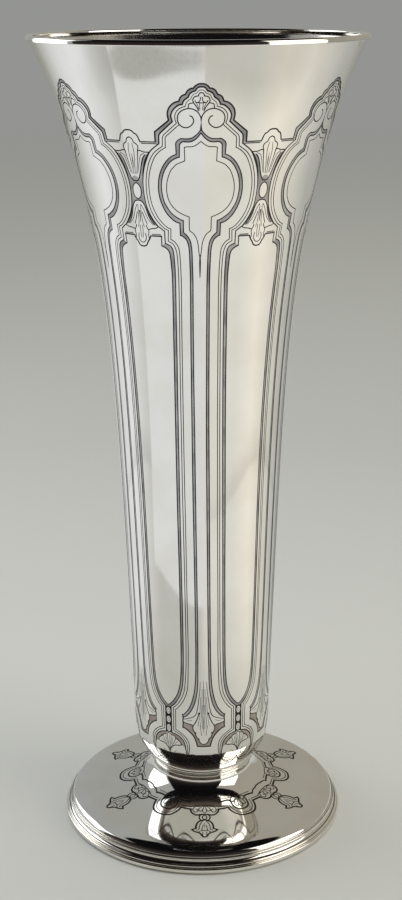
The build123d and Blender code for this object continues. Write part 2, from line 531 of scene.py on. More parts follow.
def etched_sheet(half, place, depths):
    """Every repeat of a pattern, sunk to its depths, with walls at the steps.

    place(points, depth, k, side) gives the 3-D points of one half repeat, and their normals.
    Returns points, normals, triangles, walls and the kind of each triangle.
    """
    verts, triangles, kinds = half
    level = np.array([DEPTH_CLASS[kind] for kind in kinds])
    keys = {}

    def key(v, d):
        return keys.setdefault((int(v), int(d)), len(keys))

    flat = [[key(v, d) for v in t] for t, d in zip(triangles, level)]
    owner = {(int(t[i]), int(t[(i + 1) % 3])): int(d) for t, d in zip(triangles, level) for i in range(3)}
    walls = []
    for (a, b), d in owner.items():
        other = owner.get((b, a), d)
        if d < other:
            walls.append([key(b, d), key(a, d), key(a, other), key(b, other)])
    index = np.array([v for v, _ in keys])
    depth = np.array([depths[d] for _, d in keys])
    flat, walls = np.array(flat), np.array(walls)
    parts = [[], [], [], []]
    for k in range(etching().repeats):
        for side in (1, -1):
            start = len(index) * len(parts[0])
            points, normals = place(verts[index], depth, k, side)
            made = points, normals, (flat + start)[:, ::side], (walls + start)[:, ::side]
            for part, rows in zip(parts, made):
                part.append(rows)
    points, normals, flat, walls = (np.vstack(part) for part in parts)
    return points, normals, flat, walls, np.tile(kinds, 2 * etching().repeats)


def welded(points, faces, fineness=1e-4):
    """Makes points that coincide one point. Returns which points stay, and the faces' new corners."""
    _, keep, new = np.unique(np.round(points / fineness).astype(np.int64), axis=0, return_index=True,
                             return_inverse=True)
    new = new.ravel()
    return keep, [new[f] for f in faces]


# Line widths of the etching, mm
HEAVY = 0.58
FULL = 0.48
FINE = 0.37
HAIR = 0.28
FOOT_BOLD = 0.85
FOOT_FINE = 0.45

# The etching's middle lines sway once to the left as they climb: middle and reach of the sway, the
# height where it starts and the height that half of it takes, mm
SWAY_MIDDLE = -0.3
SWAY_REACH = 0.5
SWAY_START = 40
SWAY_HALF = 190


def channel(p, outer, inner, widths, between=False):
    """Two cuts with a matted channel between them."""
    a, b = path_of(outer), path_of(inner)
    p._add(p.to_plane(np.vstack([a, b[::-1]]), between), Pattern.CHANNEL)
    p.line(widths[0], *outer, between=between)
    p.line(widths[1], *inner, between=between)


def cartouche(p):
    """Frames round the panel's middle line: crest, inner channel and plain inner line."""
    crest_outer = (
        [(0, 339.4), (0.8, 339.4), (1.6, 339.1), (2.4, 338.6), (3.2, 337.7)],
        [(3.2, 337.7), (3.9, 337.7), (4.7, 337.3), (5.4, 336.7), (6.1, 335.4)],
        [(6.1, 335.4), (6.8, 335.2), (7.5, 334.8), (8.1, 334.1), (8.6, 332.8)],
        [(8.6, 332.8), (9.8, 332.5), (10.8, 332.0), (11.7, 331.2), (12.5, 330.1), (12.95, 328.8),
         (13.0, 327.4),
         (12.6, 325.4)],
        [(12.6, 325.4), (18.15, 320.9)], [(18.15, 320.9), (17.95, 317.0)])
    crest_inner = (
        [(0, 338.3), (0.9, 338.2), (1.6, 337.8), (2.3, 336.8)],
        [(2.3, 336.8), (3.0, 336.6), (3.8, 336.2), (4.5, 335.6), (5.0, 334.4)],
        [(5.0, 334.4), (5.7, 333.9), (6.4, 333.4), (6.9, 332.7), (7.3, 331.6)],
        [(7.3, 331.6), (8.2, 331.5), (9.1, 331.1), (10.0, 330.4), (10.9, 329.4), (11.5, 328.2), (11.7, 327.0),
         (11.1, 325.0)],
        [(11.1, 325.0), (15.7, 320.7)], [(15.7, 320.7), (16.3, 320.0), (16.55, 319.1)],
                   [(16.55, 319.1), (16.5, 316.3)])
    channel(p, crest_outer, crest_inner, (0.66, 0.62))
    # channel round the panel, with its ogee top, and down the stem to its flared foot
    outer = (
        [(0, 322.2), (0.5, 321.3), (1.3, 320.3), (2.3, 319.4), (3.4, 318.7), (4.8, 318.35), (6.3, 318.3),
         (7.9, 318.4)],
        [(7.9, 318.4), (8.9, 317.7), (9.5, 317.1), (9.8, 316.3)], [(9.8, 316.3), (9.55, 312.2)],
        [(9.55, 312.2), (11.3, 311.4), (12.5, 310.5), (13.6, 309.3), (14.7, 307.7), (15.6, 305.9),
         (16.25, 304.0),
         (16.65, 302.0), (16.8, 300.0), (16.8, 298.0), (16.6, 296.2), (16.1, 294.0), (15.3, 291.8),
         (14.3, 289.8),
         (13.1, 288.0), (11.7, 286.5), (10.2, 285.3), (8.9, 284.7), (8.1, 284.5)],
        [(8.1, 284.5), (7.9, 279.5)],
        [(7.9, 279.5), (7.1, 279.2), (6.3, 278.6), (5.5, 277.8), (5.0, 276.7), (4.6, 275.3), (4.35, 273.5),
         (4.2, 271.5), (4.1, 269), (4.0, 266), (3.88, 262), (3.8, 250), (3.7, 230), (3.55, 200), (3.5, 170),
         (3.35, 140), (3.25, 110), (3.25, 92), (3.35, 84), (3.5, 79), (3.8, 75), (4.3, 71.5), (5.0, 68.5),
         (5.8, 66), (6.7, 64), (7.7, 62.5), (8.8, 61.2), (9.6, 60.7)])
    inner = (
        [(0, 320.6), (0.5, 319.9), (1.3, 318.9), (2.3, 318.0), (3.3, 317.4), (4.5, 317.1), (5.8, 317.1),
         (7.0, 317.2)],
        [(7.0, 317.2), (7.9, 316.6), (8.3, 315.9)], [(8.3, 315.9), (8.35, 311.1)],
        [(8.35, 311.1), (9.3, 310.8), (10.5, 310.2), (11.8, 309.3), (12.9, 308.0), (13.9, 306.4),
         (14.7, 304.6),
         (15.2, 302.8), (15.5, 301), (15.6, 299), (15.4, 297), (15.0, 294.9), (14.3, 292.7), (13.2, 290.8),
         (12.0, 289.0), (10.6, 287.7), (9.0, 286.6), (7.7, 285.9), (6.75, 285.6)],
        [(6.75, 285.6), (6.65, 280.7)],
        [(6.65, 280.7), (5.8, 280.0), (5.0, 279.1), (4.4, 278.2), (3.9, 277.1), (3.6, 275.8), (3.35, 274),
         (3.2, 272),
         (3.1, 269), (3.0, 266), (2.87, 262), (2.8, 250), (2.65, 220), (2.45, 190), (2.4, 160), (2.35, 130),
         (2.3, 105), (2.35, 90), (2.45, 84), (2.5, 79), (2.65, 75), (3.0, 71.5), (3.6, 68.5), (4.3, 66),
         (5.2, 63.9), (6.2, 62.2), (7.3, 60.8), (8.5, 59.8), (9.3, 59.5)])
    channel(p, outer, inner, (FULL, FULL))
    # plain inner line, ending in a spike
    p.line(FINE,
           [(0, 317.3), (0.6, 316.8), (1.5, 316.1), (2.5, 315.5), (3.7, 315.2), (5, 315.2), (6.4, 315.0)],
           [(6.4, 315.0), (6.2, 309.6)],
           [(6.2, 309.6), (7.2, 309.2), (8.4, 308.7), (9.6, 308.1), (10.6, 307.1), (11.6, 305.9),
            (12.3, 304.4),
            (12.9, 302.6), (13.3, 300.8), (13.45, 299), (13.4, 297.4), (13.1, 295.6), (12.6, 293.8),
            (11.8, 292.3),
            (10.7, 290.8), (9.3, 289.5), (7.7, 288.5), (6.0, 287.7), (4.4, 287.1)],
           [(4.4, 287.1), (4.3, 282.3)],
           [(4.3, 282.3), (4.1, 281.4), (3.4, 280.9), (2.6, 280.2), (1.9, 279.2), (1.4, 278.1), (1.0, 276.8),
            (0.75, 275.5), (0.6, 274), (0.45, 272.5), (0.2, 271)])
    p.line((0.5, 0.75, 0.6, 0.35), [(0, 271.2), (0, 262.2)])
    # pair of fine lines that follows the crest, the ring and the stem
    p.line(FINE, [(6.1, 330.9), (7.0, 330.6), (8.1, 330.2), (9.1, 329.4), (9.9, 328.2), (10.15, 327.0),
                  (10.0, 325.7),
                  (9.5, 324.4)], [(9.5, 324.4), (14.3, 320.0)], [(14.3, 320.0), (14.85, 319.3),
                                                                 (15.05, 318.5)],
           [(15.05, 318.5), (15.05, 315.3)])
    p.line(FINE, [(8.5, 323.8), (13.4, 319.4)], [(13.4, 319.4), (13.8, 318.9), (13.95, 318.2)],
           [(13.95, 318.2), (13.85, 314.8)])
    p.line(FINE, [(12.8, 281.3), (12.9, 277.0)],
           [(12.9, 277.0), (12.0, 276.5), (11.0, 275.9), (10.3, 275), (9.8, 273.8), (9.4, 272.2), (9.1, 270),
            (8.9, 267),
            (8.75, 264), (8.62, 261), (8.4, 245), (8.3, 220), (8.1, 190), (8.0, 165), (7.85, 150), (7.7, 125),
            (7.6, 105), (7.6, 92), (7.75, 84), (8.05, 79), (8.4, 75), (8.9, 72), (9.7, 69.7), (10.6, 67.8),
            (11.7, 66), (12.9, 64.6), (14.0, 63.6)], [(14.0, 63.6), (14.0, 52.0)],
           [(14.0, 52.0), (12.6, 51.4), (11.1, 50.6), (9.8, 49.5), (8.6, 47.9), (7.8, 46.1), (7.4, 44),
            (7.4, 42),
            (7.7, 40), (8.4, 38), (9.6, 36.5), (11, 35.8), (12.7, 35.9), (14.1, 36.8)])
    p.line(FINE, [(11.75, 282.0), (11.8, 277.7)],
           [(11.8, 277.7), (10.8, 277.2), (9.9, 276.4), (9.2, 275.4), (8.6, 274.2), (8.3, 272.8), (8.1, 271),
            (7.9, 268),
            (7.75, 265), (7.6, 261), (7.5, 248), (7.4, 230), (7.2, 200), (7.1, 180), (6.9, 150), (6.8, 120),
            (6.7, 103), (6.6, 92), (6.75, 84), (6.9, 79), (7.1, 75), (7.6, 72), (8.4, 69.5), (9.4, 67.3),
            (10.6, 65.4), (11.8, 63.9), (12.95, 62.8)], [(12.95, 62.8), (12.95, 52.7)],
           [(12.95, 52.7), (11.7, 52.0), (10.3, 51.2), (8.9, 50.0), (7.7, 48.5), (6.95, 46.8), (6.6, 45),
            (6.6, 43),
            (6.9, 41), (7.5, 38.9), (8.6, 36.8), (9.9, 35.4), (11.4, 34.8)])
    # outer channel down the stem, to the bead chain
    p.line(FULL, [(17.25, 282.9), (16.4, 282.4), (15.3, 281.6), (14.4, 280.95)],
           [(14.4, 280.95), (14.15, 276.0)])
    p.line(FULL, [(15.7, 278.9), (15.6, 274.9)])
    channel(
        p,
        ([(15.6, 274.9), (14.3, 274.3), (13.4, 273.7), (12.7, 272.9), (12.25, 271.8), (11.95, 270),
          (11.75, 268),
          (11.5, 265.5), (11.3, 263), (11.15, 258), (11.05, 250), (10.9, 235), (10.7, 215), (10.55, 190),
          (10.4, 165),
          (10.2, 145), (10.05, 130), (9.95, 110), (9.9, 92), (10.0, 84), (10.2, 80), (10.6, 76), (11.2, 73),
          (12.1, 70.3), (13.3, 68.1), (14.6, 66.3), (15.9, 65), (17.2, 64.3)],),
        ([(14.15, 276.0), (13.2, 275.6), (12.2, 275.1), (11.5, 274.4), (11.0, 273.5), (10.75, 272.3),
          (10.55, 271),
          (10.4, 269), (10.2, 266.5), (10.05, 264), (9.95, 260), (9.8, 247), (9.6, 230), (9.5, 210),
          (9.35, 180),
          (9.25, 155), (9.1, 130), (8.95, 108), (8.9, 92), (9.0, 84), (9.1, 80), (9.4, 76), (9.9, 73),
          (10.7, 70.4),
          (11.8, 68), (13, 66), (14.3, 64.6), (15.5, 63.6)],),
        (FULL, FULL))


def crest_palmette(p):
    """Small palmette with its scrolls and the pair of large volutes under the crest."""
    p.line(FULL, [(0, 326.2), (0.5, 327.4), (1.1, 328.4), (2.0, 329.2), (3.2, 329.8), (4.8, 330.05),
                  (6.4, 329.7),
                  (7.8, 329.0), (8.7, 328.0), (9.1, 326.8), (9.05, 325.4), (8.6, 324.2), (7.7, 323.25),
                  (6.6, 322.75),
                  (5.5, 322.65), (4.5, 323.0), (3.6, 323.7), (3.0, 324.6), (2.85, 325.5), (3.2, 326.4),
                  (3.7, 327.0),
                  (4.3, 327.2)])
    p.line((0.8, 0.2), [(0, 326.5), (0, 324.7)])
    p.line((0.2, 1.0), [(0, 324.7), (0, 321.9)])
    p.line(HAIR, [(0, 337.15), (0.7, 337.0), (1.3, 336.5), (1.8, 335.9)],
           [(1.8, 335.9), (2.7, 335.6), (3.4, 335.1), (4.1, 333.6)],
           [(4.1, 333.6), (4.8, 333.2), (5.4, 332.7), (5.9, 331.9), (6.1, 330.9)])
    p.line(0.45, [(0, 336.1), (0.55, 335.95), (0.95, 335.5), (1.15, 334.8)],
           [(1.15, 334.8), (1.9, 334.75), (2.6, 334.5), (3.1, 333.9), (3.25, 333.1), (3.0, 332.3),
            (2.3, 331.4),
            (1.6, 330.4), (1.05, 329.2)])
    p.line(0.4, [(0.4, 334.3), (0.45, 333.4), (0.8, 332.7), (1.5, 332.3), (2.2, 332.5), (2.4, 333.0)])
    p.line(0.4, [(0, 332.15), (0.8, 332.25), (1.4, 332.3)])
    p.lines(HAIR, [(0.75, 332.0), (0.6, 330.8), (0.55, 329.5)], [(1.75, 332.0), (1.25, 330.9), (0.95, 329.9)])
    p.line(0.42, [(3.2, 332.15), (4.0, 332.05), (4.7, 331.8), (4.95, 331.1), (5.0, 330.3)])


def husks(p):
    """Between two cartouches: the arch, two leafy husks nose to nose with a bead, and their bars."""
    b = True
    # sunk ground round the husks, bounded by the ring's outline
    p.area(
        Pattern.CHANNEL,
        [(7.3, 312.3), (6.2, 310.3), (5.3, 308.5), (4.5, 306.5), (3.9, 304.5), (3.5, 302.5), (3.2, 300.5),
         (3.05, 298),
         (3.0, 296), (3.05, 294), (3.2, 292.5), (3.5, 290.5), (4.1, 288.5), (4.9, 286.5), (5.9, 284.9),
         (7.3, 282.8)],
        [(7.3, 282.8), (6.3, 283.4), (4.9, 284.8), (4.1, 286.3), (3.5, 288.0), (3.0, 290), (2.4, 291.8),
         (1.4, 293.0),
         (0, 293.3)],
        [(0, 293.3), (0, 303.2)],
        [(0, 303.2), (0.8, 303.0), (1.6, 302.2), (2.2, 303.2), (2.8, 304.9), (3.3, 306.7), (3.9, 308.6),
         (4.7, 310.4),
         (5.7, 311.6), (7.3, 312.3)],
        between=b)
    p.dot(Pattern.LINE, 0, 297.0, 2.1, 3.4, between=b)
    p.dot(Pattern.TOP, 0, 297.0, 1.65, 2.95, between=b)
    p.line(0.5, [(0, 301.0), (0.9, 301.15), (1.6, 301.9), (2.1, 303.0), (2.8, 304.9), (3.3, 306.7),
                 (3.9, 308.6),
                 (4.7, 310.4), (5.7, 311.6)], between=b)
    p.line(0.45, [(0, 293.2), (1.3, 292.9), (2.3, 291.8), (3.0, 290), (3.5, 288.0), (4.1, 286.3),
                  (4.9, 284.8),
                  (6.0, 283.5)], between=b)
    # ring's outline
    p.line((FULL, 0.5, 1.0, 0.75, 0.42, 0.42, 0.5, 0.95, 0.6),
           [(12.45, 316.3), (11, 315.3), (9.6, 314.3), (8.2, 313.1), (7.1, 311.7), (6.2, 310.3), (5.3, 308.5),
            (4.5, 306.5), (3.9, 304.5), (3.5, 302.5), (3.2, 300.5), (3.05, 298.5), (3.0, 296.5),
            (3.05, 294.5),
            (3.2, 292.5), (3.5, 290.5), (4.1, 288.5), (4.9, 286.5), (5.9, 284.9), (7.4, 282.9)], between=b)
    p.line(FINE, [(13.7, 315.3), (11.9, 314.2), (10.0, 312.8), (8.3, 310.8), (7.0, 308.6), (5.9, 305.8),
                  (5.05, 303),
                  (4.55, 300.2), (4.3, 297.5), (4.3, 295), (4.6, 292), (5.1, 289.8), (6.0, 287.5),
                  (7.2, 285.4),
                  (8.5, 283.7), (9.9, 282.3), (11.6, 281.4)], between=b)
    p.line(FINE, [(14.9, 314.8), (13.0, 313.8), (11.3, 312.5), (9.9, 311), (8.7, 309.1), (7.5, 306.7),
                  (6.6, 304.3),
                  (5.95, 301.8), (5.6, 299.3), (5.5, 296.8), (5.6, 294), (6.0, 291.5), (6.7, 289.2),
                  (7.7, 287),
                  (9, 285), (10.3, 283.5), (11.8, 282.4), (12.8, 282.0)], between=b)
    # arch and upper bar
    p.line(HEAVY, [(0, 321.35), (0.9, 321.3), (1.7, 321.0), (2.6, 320.1)],
           [(2.6, 320.1), (3.4, 319.7), (3.9, 319.0), (4.2, 318.1), (4.6, 316.9)], between=b)
    channel(p, ([(4.6, 316.9), (11.1, 316.9)],), ([(5.1, 316.15), (11.9, 316.15)],), (0.42, HAIR), between=b)
    # upper husk
    p.line(0.45, [(0, 318.5), (0.6, 318.3), (1.2, 317.8), (1.7, 316.5)],
           [(1.7, 316.5), (2.4, 316.1), (3.0, 315.6), (3.3, 314.9), (3.2, 314.1), (2.9, 313.2)],
           [(2.9, 313.2), (3.7, 313.35), (4.6, 313.1), (5.5, 312.8), (7.4, 312.75)], between=b)
    p.line((0.15, 0.5, 0.15), [(0, 312.0), (0, 306.0)], between=b)
    p.lines(HAIR, [(0.3, 304), (0.6, 307), (1.0, 310.5), (1.15, 313.5), (0.8, 316.0)],
            [(1.5, 304.3), (2.3, 307), (3.0, 309.3), (3.9, 311.4), (5.4, 312.2)], between=b)
    p.line((0.2, 0.3, 0.5), [(0.9, 303.8), (1.5, 306.2), (2.1, 308.8), (2.5, 311.0), (2.9, 313.2)], between=b)
    # lower husk
    p.line(0.42, [(7.3, 282.5), (6.4, 282.05), (5.4, 281.9), (4.4, 281.7), (3.1, 281.25)],
           [(3.1, 281.25), (2.6, 282.0), (2.3, 283.0)], between=b)
    p.line(FINE, [(3.1, 281.25), (3.15, 280.2), (2.9, 279.2), (3.1, 277.6)], between=b)
    p.line(FINE, [(0, 275.9), (0.6, 276.05), (1.2, 276.6), (1.65, 277.4), (1.75, 278.3), (1.5, 279.6)],
           between=b)
    p.line((0.65, 0.25), [(0, 288.8), (0, 284.4)], between=b)
    p.line(FINE, [(1.2, 288.3), (1.7, 286.8), (2.2, 285.2), (2.8, 283.6)], between=b)
    p.lines(HAIR, [(0.55, 290.6), (0.75, 287.5), (0.85, 284.5), (1.35, 282.2)],
            [(0.5, 283), (0.55, 280.5), (0.3, 278.0)], [(1.0, 291.3), (1.9, 289.6), (2.6, 287.6),
                                                        (3.6, 285.4),
                                                        (5.4, 283.4)], between=b)
    p.dot(Pattern.LINE, 0.85, 291.2, 0.3, between=b)
    p.line(HEAVY, [(0, 274.3), (0.9, 274.45), (1.6, 274.9), (2.4, 276.4)],
           [(2.4, 276.4), (3.0, 277.1), (3.4, 277.8), (3.8, 278.7)], between=b)
    channel(p, ([(4.0, 278.7), (8.6, 278.75)],), ([(4.5, 279.5), (8.2, 279.5)],), (0.45, HAIR), between=b)


def stem_foot(p):
    """Tongue leaf with its side leaves at the foot of a stem, and the bars under it."""
    p.area(
        Pattern.GROUND,
        [(0, 46.05), (0.5, 46.1), (1.2, 46.5), (1.8, 47.2), (2.2, 48.1)],
        [(2.2, 48.1), (2.5, 49.0), (3.1, 49.5), (3.5, 50.4), (3.8, 51.4)],
        [(3.8, 51.4), (4.2, 52.3), (4.7, 53.1), (4.95, 54.1), (4.9, 55.3)],
        [(4.9, 55.3), (5.5, 55.9), (6.5, 56.2), (7.8, 56.5), (9.4, 56.9)],
        [(9.4, 56.9), (9.5, 54.3)],
        [(9.5, 54.3), (8.5, 54.0), (7.5, 53.3), (6.5, 52.4), (5.6, 51.5), (4.9, 50.6), (4.3, 49.6),
         (3.8, 48.4),
         (3.4, 47.2), (2.9, 45.0)],
        [(2.9, 45.0), (0, 45.0)], [(0, 45.0), (0, 46.05)])
    p.line(0.48, [(0, 46.05), (0.5, 46.1), (1.2, 46.5), (1.8, 47.2), (2.2, 48.1)],
           [(2.2, 48.1), (2.5, 49.0), (3.1, 49.5), (3.5, 50.4), (3.8, 51.4)],
           [(3.8, 51.4), (4.2, 52.3), (4.7, 53.1), (4.95, 54.1), (4.9, 55.3)],
           [(4.9, 55.3), (4.5, 56.0), (3.8, 57.1), (3.1, 58.6), (2.6, 60.0), (2.1, 61.7)])
    p.line(0.5, [(4.9, 55.3), (5.5, 55.9), (6.5, 56.2), (7.8, 56.5), (9.1, 56.9)])
    p.line(HEAVY, [(9.65, 60.7), (9.35, 59.3), (9.5, 58.0), (9.4, 56.6), (9.5, 54.3)],
           [(9.5, 54.3), (8.5, 54.0), (7.5, 53.3), (6.5, 52.4), (5.6, 51.5), (4.9, 50.6), (4.3, 49.6),
            (3.8, 48.4),
            (3.4, 47.2), (2.9, 45.0)], [(2.9, 45.0), (0, 45.0)])
    p.line((0.2, 0.3, 0.4, 0.35), [(1.4, 77.5), (1.6, 74), (1.9, 71), (2.2, 68.5), (2.5, 66), (2.8, 64.0),
                                   (3.2, 62.2),
                                   (3.9, 60.7), (4.8, 59.9), (6.2, 59.4), (7.5, 58.9), (8.9, 58.5)])
    p.dot(Pattern.LINE, 2.1, 61.8, 0.5)
    p.dot(Pattern.LINE, 3.65, 51.9, 0.4)
    p.dot(Pattern.LINE, 2.3, 48.7, 0.36)
    p.line((0.15, 0.4, 0.15), [(0, 52), (0, 60.5)])
    p.line((0.15, 0.35, 0.15), [(0, 61), (0, 78)])
    p.lines(0.2, [(1.4, 55), (1.2, 58), (1.0, 61), (0.9, 64), (0.7, 69), (0.65, 74)],
            [(2.6, 55.4), (2.1, 58), (1.7, 61.5), (1.5, 65), (1.3, 70)], [(0.55, 54), (0.5, 59), (0.45, 66)],
            [(1.0, 50.6), (1.3, 53.2), (1.7, 55.6)], [(5.4, 58.3), (6.4, 57.9), (7.6, 57.8)])
    p.line(0.55, [(0, 40.05), (3.2, 40.05)])


def bead_chain(p):
    """Three beads, then a shell with two volutes, between the stems' feet."""
    b = True
    p.area(Pattern.LINE, [(0, 64.0), (1.5, 63.4)], [(1.5, 63.4), (1.5, 50.5)], [(1.5, 50.5), (0, 50.7)],
           [(0, 50.7), (0, 64.0)], between=b)
    for middle, half in ((61.6, 1.65), (57.15, 1.62), (52.85, 1.75)):
        p.dot(Pattern.TOP, 0, middle, 1.0, half, between=b)
        p.line(0.18, [(0, middle + half * 0.55), (0.45, middle + half * 0.25), (0.45, middle - half * 0.3),
                      (0, middle - half * 0.55)], between=b)
    p.line(0.5, [(1.45, 63.6), (1.45, 50.6)], between=b)
    p.area(Pattern.GROUND,
           [(1.2, 50.4), (3.0, 50.3), (4.3, 49.8), (5.6, 48.9), (6.6, 47.7), (7.3, 46.2), (7.65, 44.7),
            (7.7, 43.6)],
           [(7.7, 43.6), (6.9, 44.5), (6.05, 45.2)], [(6.05, 45.2), (5.7, 46.0), (5.0, 46.9), (4.1, 47.7)],
           [(4.1, 47.7), (3.4, 48.0), (3.1, 48.6)], [(3.1, 48.6), (2.5, 49.2), (1.6, 49.4), (1.2, 50.4)],
           between=b)
    p.line(0.55, [(1.5, 50.6), (3.0, 50.4), (4.3, 49.9), (5.6, 49.0), (6.7, 47.8), (7.4, 46.3), (7.75, 44.8),
                  (7.85, 43.2)], between=b)
    p.line(FINE, [(0.0, 50.25), (0.6, 50.1), (0.95, 49.6)], [(0.95, 49.6), (1.6, 49.4), (2.5, 49.2),
                                                             (3.3, 48.2)],
           between=b)
    p.line(0.42, [(3.3, 48.2), (4.1, 47.7), (5.0, 46.9), (5.7, 46.0), (6.05, 45.2)], between=b)
    p.lines(0.28, [(0.95, 49.6), (0.95, 47.5), (0.6, 45), (0.25, 42.6)],
            [(3.3, 48.2), (2.5, 46.2), (1.5, 44.3)],
            between=b)
    p.lines(0.18, [(0, 49.0), (0, 45)], [(1.9, 48.4), (1.5, 46.4), (1.0, 44.6)], [(4.4, 46.7), (3.4, 45.9),
                                                                                (2.5, 45.0)], between=b)
    p.dot(Pattern.LINE, 4.1, 47.75, 0.38, between=b)
    p.line((0.48, 0.5, 0.6), [(6.05, 45.2), (5.3, 44.85), (4.3, 44.65), (3.3, 44.6), (2.3, 44.25),
                              (1.4, 43.6),
                              (0.7, 42.6), (0.25, 41.8), (0, 40.9)], between=b)
    p.line((0.5, 0.35, 0.35, 0.2), [(7.85, 43.2), (8.0, 42.0), (7.8, 40.4), (7.1, 38.9), (5.9, 37.8),
                                    (4.5, 37.4),
                                    (3.1, 37.7), (2.2, 38.6), (1.9, 39.8), (2.4, 40.9), (3.3, 41.4)],
           between=b)
    p.line(0.55, [(0, 37.7), (0.4, 36.9), (1.0, 35.8), (1.9, 34.7), (3.0, 33.8), (4.3, 33.4), (5.8, 33.45),
                  (7.3, 33.95), (8.8, 34.9), (10.2, 36.2), (11.4, 37.7), (12.2, 39.1), (12.75, 40.05)],
           between=b)


# How wide one radian is drawn in the flat triangulation of each surface, mm
TRUMPET_FLAT_RADIUS = 45.0
DOME_FLAT_RADIUS = 38.0


def trumpet_pattern(outline):
    half = math.pi / etching().repeats

    def to_plane(points, between):
        r = outline.at(outline.length_at_height(points[:, 1]))[0]
        turn = points[:, 0] / r
        return np.stack([(half - turn if between else turn) * TRUMPET_FLAT_RADIUS, points[:, 1]], 1)

    p = Pattern(to_plane)
    husks(p)
    cartouche(p)
    crest_palmette(p)
    stem_foot(p)
    bead_chain(p)
    return p


def dome_pattern(outline):
    """Drops on scrolled straps, drawn in plan: across and out from the middle of the foot."""
    half = math.pi / etching().repeats

    def to_plane(points, between):
        turn = np.arctan2(points[:, 0], points[:, 1])
        s = outline.length_at_radius(np.hypot(*points.T))
        return np.stack([(half - turn if between else turn) * DOME_FLAT_RADIUS, s], 1)

    p = Pattern(to_plane)
    # drop shaped like a lily bell
    p.line(FOOT_BOLD, [(0, 52.0), (0.7, 51.75), (1.2, 51.1), (1.7, 50.1), (2.3, 49.2), (3.1, 48.8)],
           [(3.1, 48.8), (4.2, 48.3), (5.1, 47.6), (5.8, 46.8)], [(5.8, 46.8), (4.9, 46.35), (3.9, 46.0)],
           [(3.9, 46.0), (3.95, 44.8), (3.7, 43.4), (3.2, 42.2), (2.4, 41.2), (1.5, 40.7)])
    p.line(FOOT_FINE, [(3.6, 47.3), (2.6, 46.6), (2.45, 45.0), (2.1, 43.4), (1.4, 41.9), (0.7, 41.0)])
    p.line(FOOT_FINE, [(0, 47.5), (1.0, 47.5), (2.1, 47.9), (2.9, 48.6)])
    p.lines(0.36, [(0.9, 50.9), (1.0, 49.4), (0.7, 48.4)], [(1.2, 46.8), (1.0, 45.2), (0.6, 43.8)])
    p.line((0.2, 0.6, 0.2), [(0, 45.6), (0, 42.4)])
    p.dot(Pattern.LINE, 1.3, 47.0, 0.3)
    p.line(0.7, [(0, 40.4), (0.8, 40.45), (1.5, 40.7)])
    p.line(0.65, [(1.5, 40.7), (2.1, 40.0), (2.45, 39.2), (2.4, 38.2), (1.9, 37.3)])
    p.dot(Pattern.LINE, 0, 38.7, 1.25, 1.55)
    p.dot(Pattern.TOP, 0, 38.7, 0.72, 1.05)
    # scrolls and the strap to the next lobe
    p.line(FOOT_BOLD, [(0.4, 36.85), (1.6, 36.8), (2.6, 37.1), (3.7, 37.1), (4.8, 36.6), (5.7, 35.7),
                       (6.25, 34.6),
                  (6.3, 33.5)])
    p.line((0.95, 0.9, 0.75), [(6.2, 33.5), (7.4, 33.1), (8.8, 32.7), (10.0, 32.3), (10.8, 32.0)])
    p.line(FOOT_FINE, [(2.4, 32.3), (3.6, 32.1), (4.7, 32.5), (5.3, 33.5), (5.1, 34.7), (4.2, 35.3),
                       (3.3, 35.0),
                  (3.0, 34.2), (3.6, 33.6)])
    p.lines(0.42, [(0, 36.0), (0.7, 35.3), (0.9, 34.2), (0.5, 33.0), (0.2, 32.0)],
            [(0.9, 34.3), (1.7, 34.8), (2.5, 34.4), (2.6, 33.4), (1.9, 32.7), (0.9, 32.2)],
            [(0, 31.5), (1.7, 31.5), (3.2, 31.6), (5.0, 31.9), (6.3, 32.3)],
            [(6.4, 32.2), (8.4, 31.6), (10.3, 30.9)])
    p.line(0.8, [(11.5, 27.7), (9.8, 28.2), (8.2, 28.9), (6.8, 29.6)])
    p.line(0.6, [(6.8, 29.6), (5.2, 28.9), (3.8, 28.75), (2.4, 28.8)], [(2.4, 28.8), (1.5, 28.5), (0, 28.5)])
    p.line(0.3, [(7.2, 27.9), (9.9, 27.0), (12.3, 26.1)])
    # lobe between two drops
    b = True
    p.line(0.9, [(0, 40.15), (1.4, 40.1), (2.7, 39.8), (4.0, 39.1), (5.1, 37.9), (5.95, 36.3), (6.5, 34.6),
                  (6.65, 33.1)], between=b)
    p.line(0.4, [(0, 38.8), (1.2, 38.7), (2.4, 38.3), (3.5, 37.5), (4.4, 36.4), (5.0, 35.0), (5.3, 33.4),
                  (5.2, 32.0)], between=b)
    p.line(0.8, [(0, 36.25), (1.1, 36.1), (2.3, 35.6), (3.3, 34.5), (3.85, 33.0), (3.85, 31.3), (3.5, 29.8)],
           between=b)
    p.line(FOOT_FINE, [(3.5, 29.8), (2.6, 29.0), (1.4, 28.7), (0, 28.7)], between=b)
    p.lines(FOOT_FINE, [(0, 35.0), (0.75, 34.0), (0.85, 32.4), (0.35, 30.4)],
            [(0.85, 33.0), (1.7, 33.8), (2.5, 33.3), (2.5, 31.9), (1.5, 30.7), (0.5, 30.1)], between=b)
    p.dot(Pattern.LINE, 2.75, 30.9, 0.42, between=b)
    return p


# Meshes


def trumpet_angle(z, r):
    """Angle of the front repeat's middle line at a height, with its sway."""
    across = SWAY_MIDDLE + SWAY_REACH * np.cos(math.pi * (z - SWAY_START) / SWAY_HALF)
    return math.radians(etching().turn) + across / r


def on_turned(r, z, turn):
    """Points at radius r and height z, turned to the right from the front."""
    return np.stack([r * np.sin(turn), -r * np.cos(turn), z + 0 * turn], -1)


def trumpet_place(outline):
    half = math.pi / etching().repeats

    def place(points, depth, k, side):
        r, z, nr, nz = outline.at(outline.length_at_height(points[:, 1]))
        turn = trumpet_angle(z, r) + 2 * half * k + side * points[:, 0] / TRUMPET_FLAT_RADIUS
        return on_turned(r - nr * depth, z - nz * depth, turn), on_turned(nr, nz, turn)

    return place


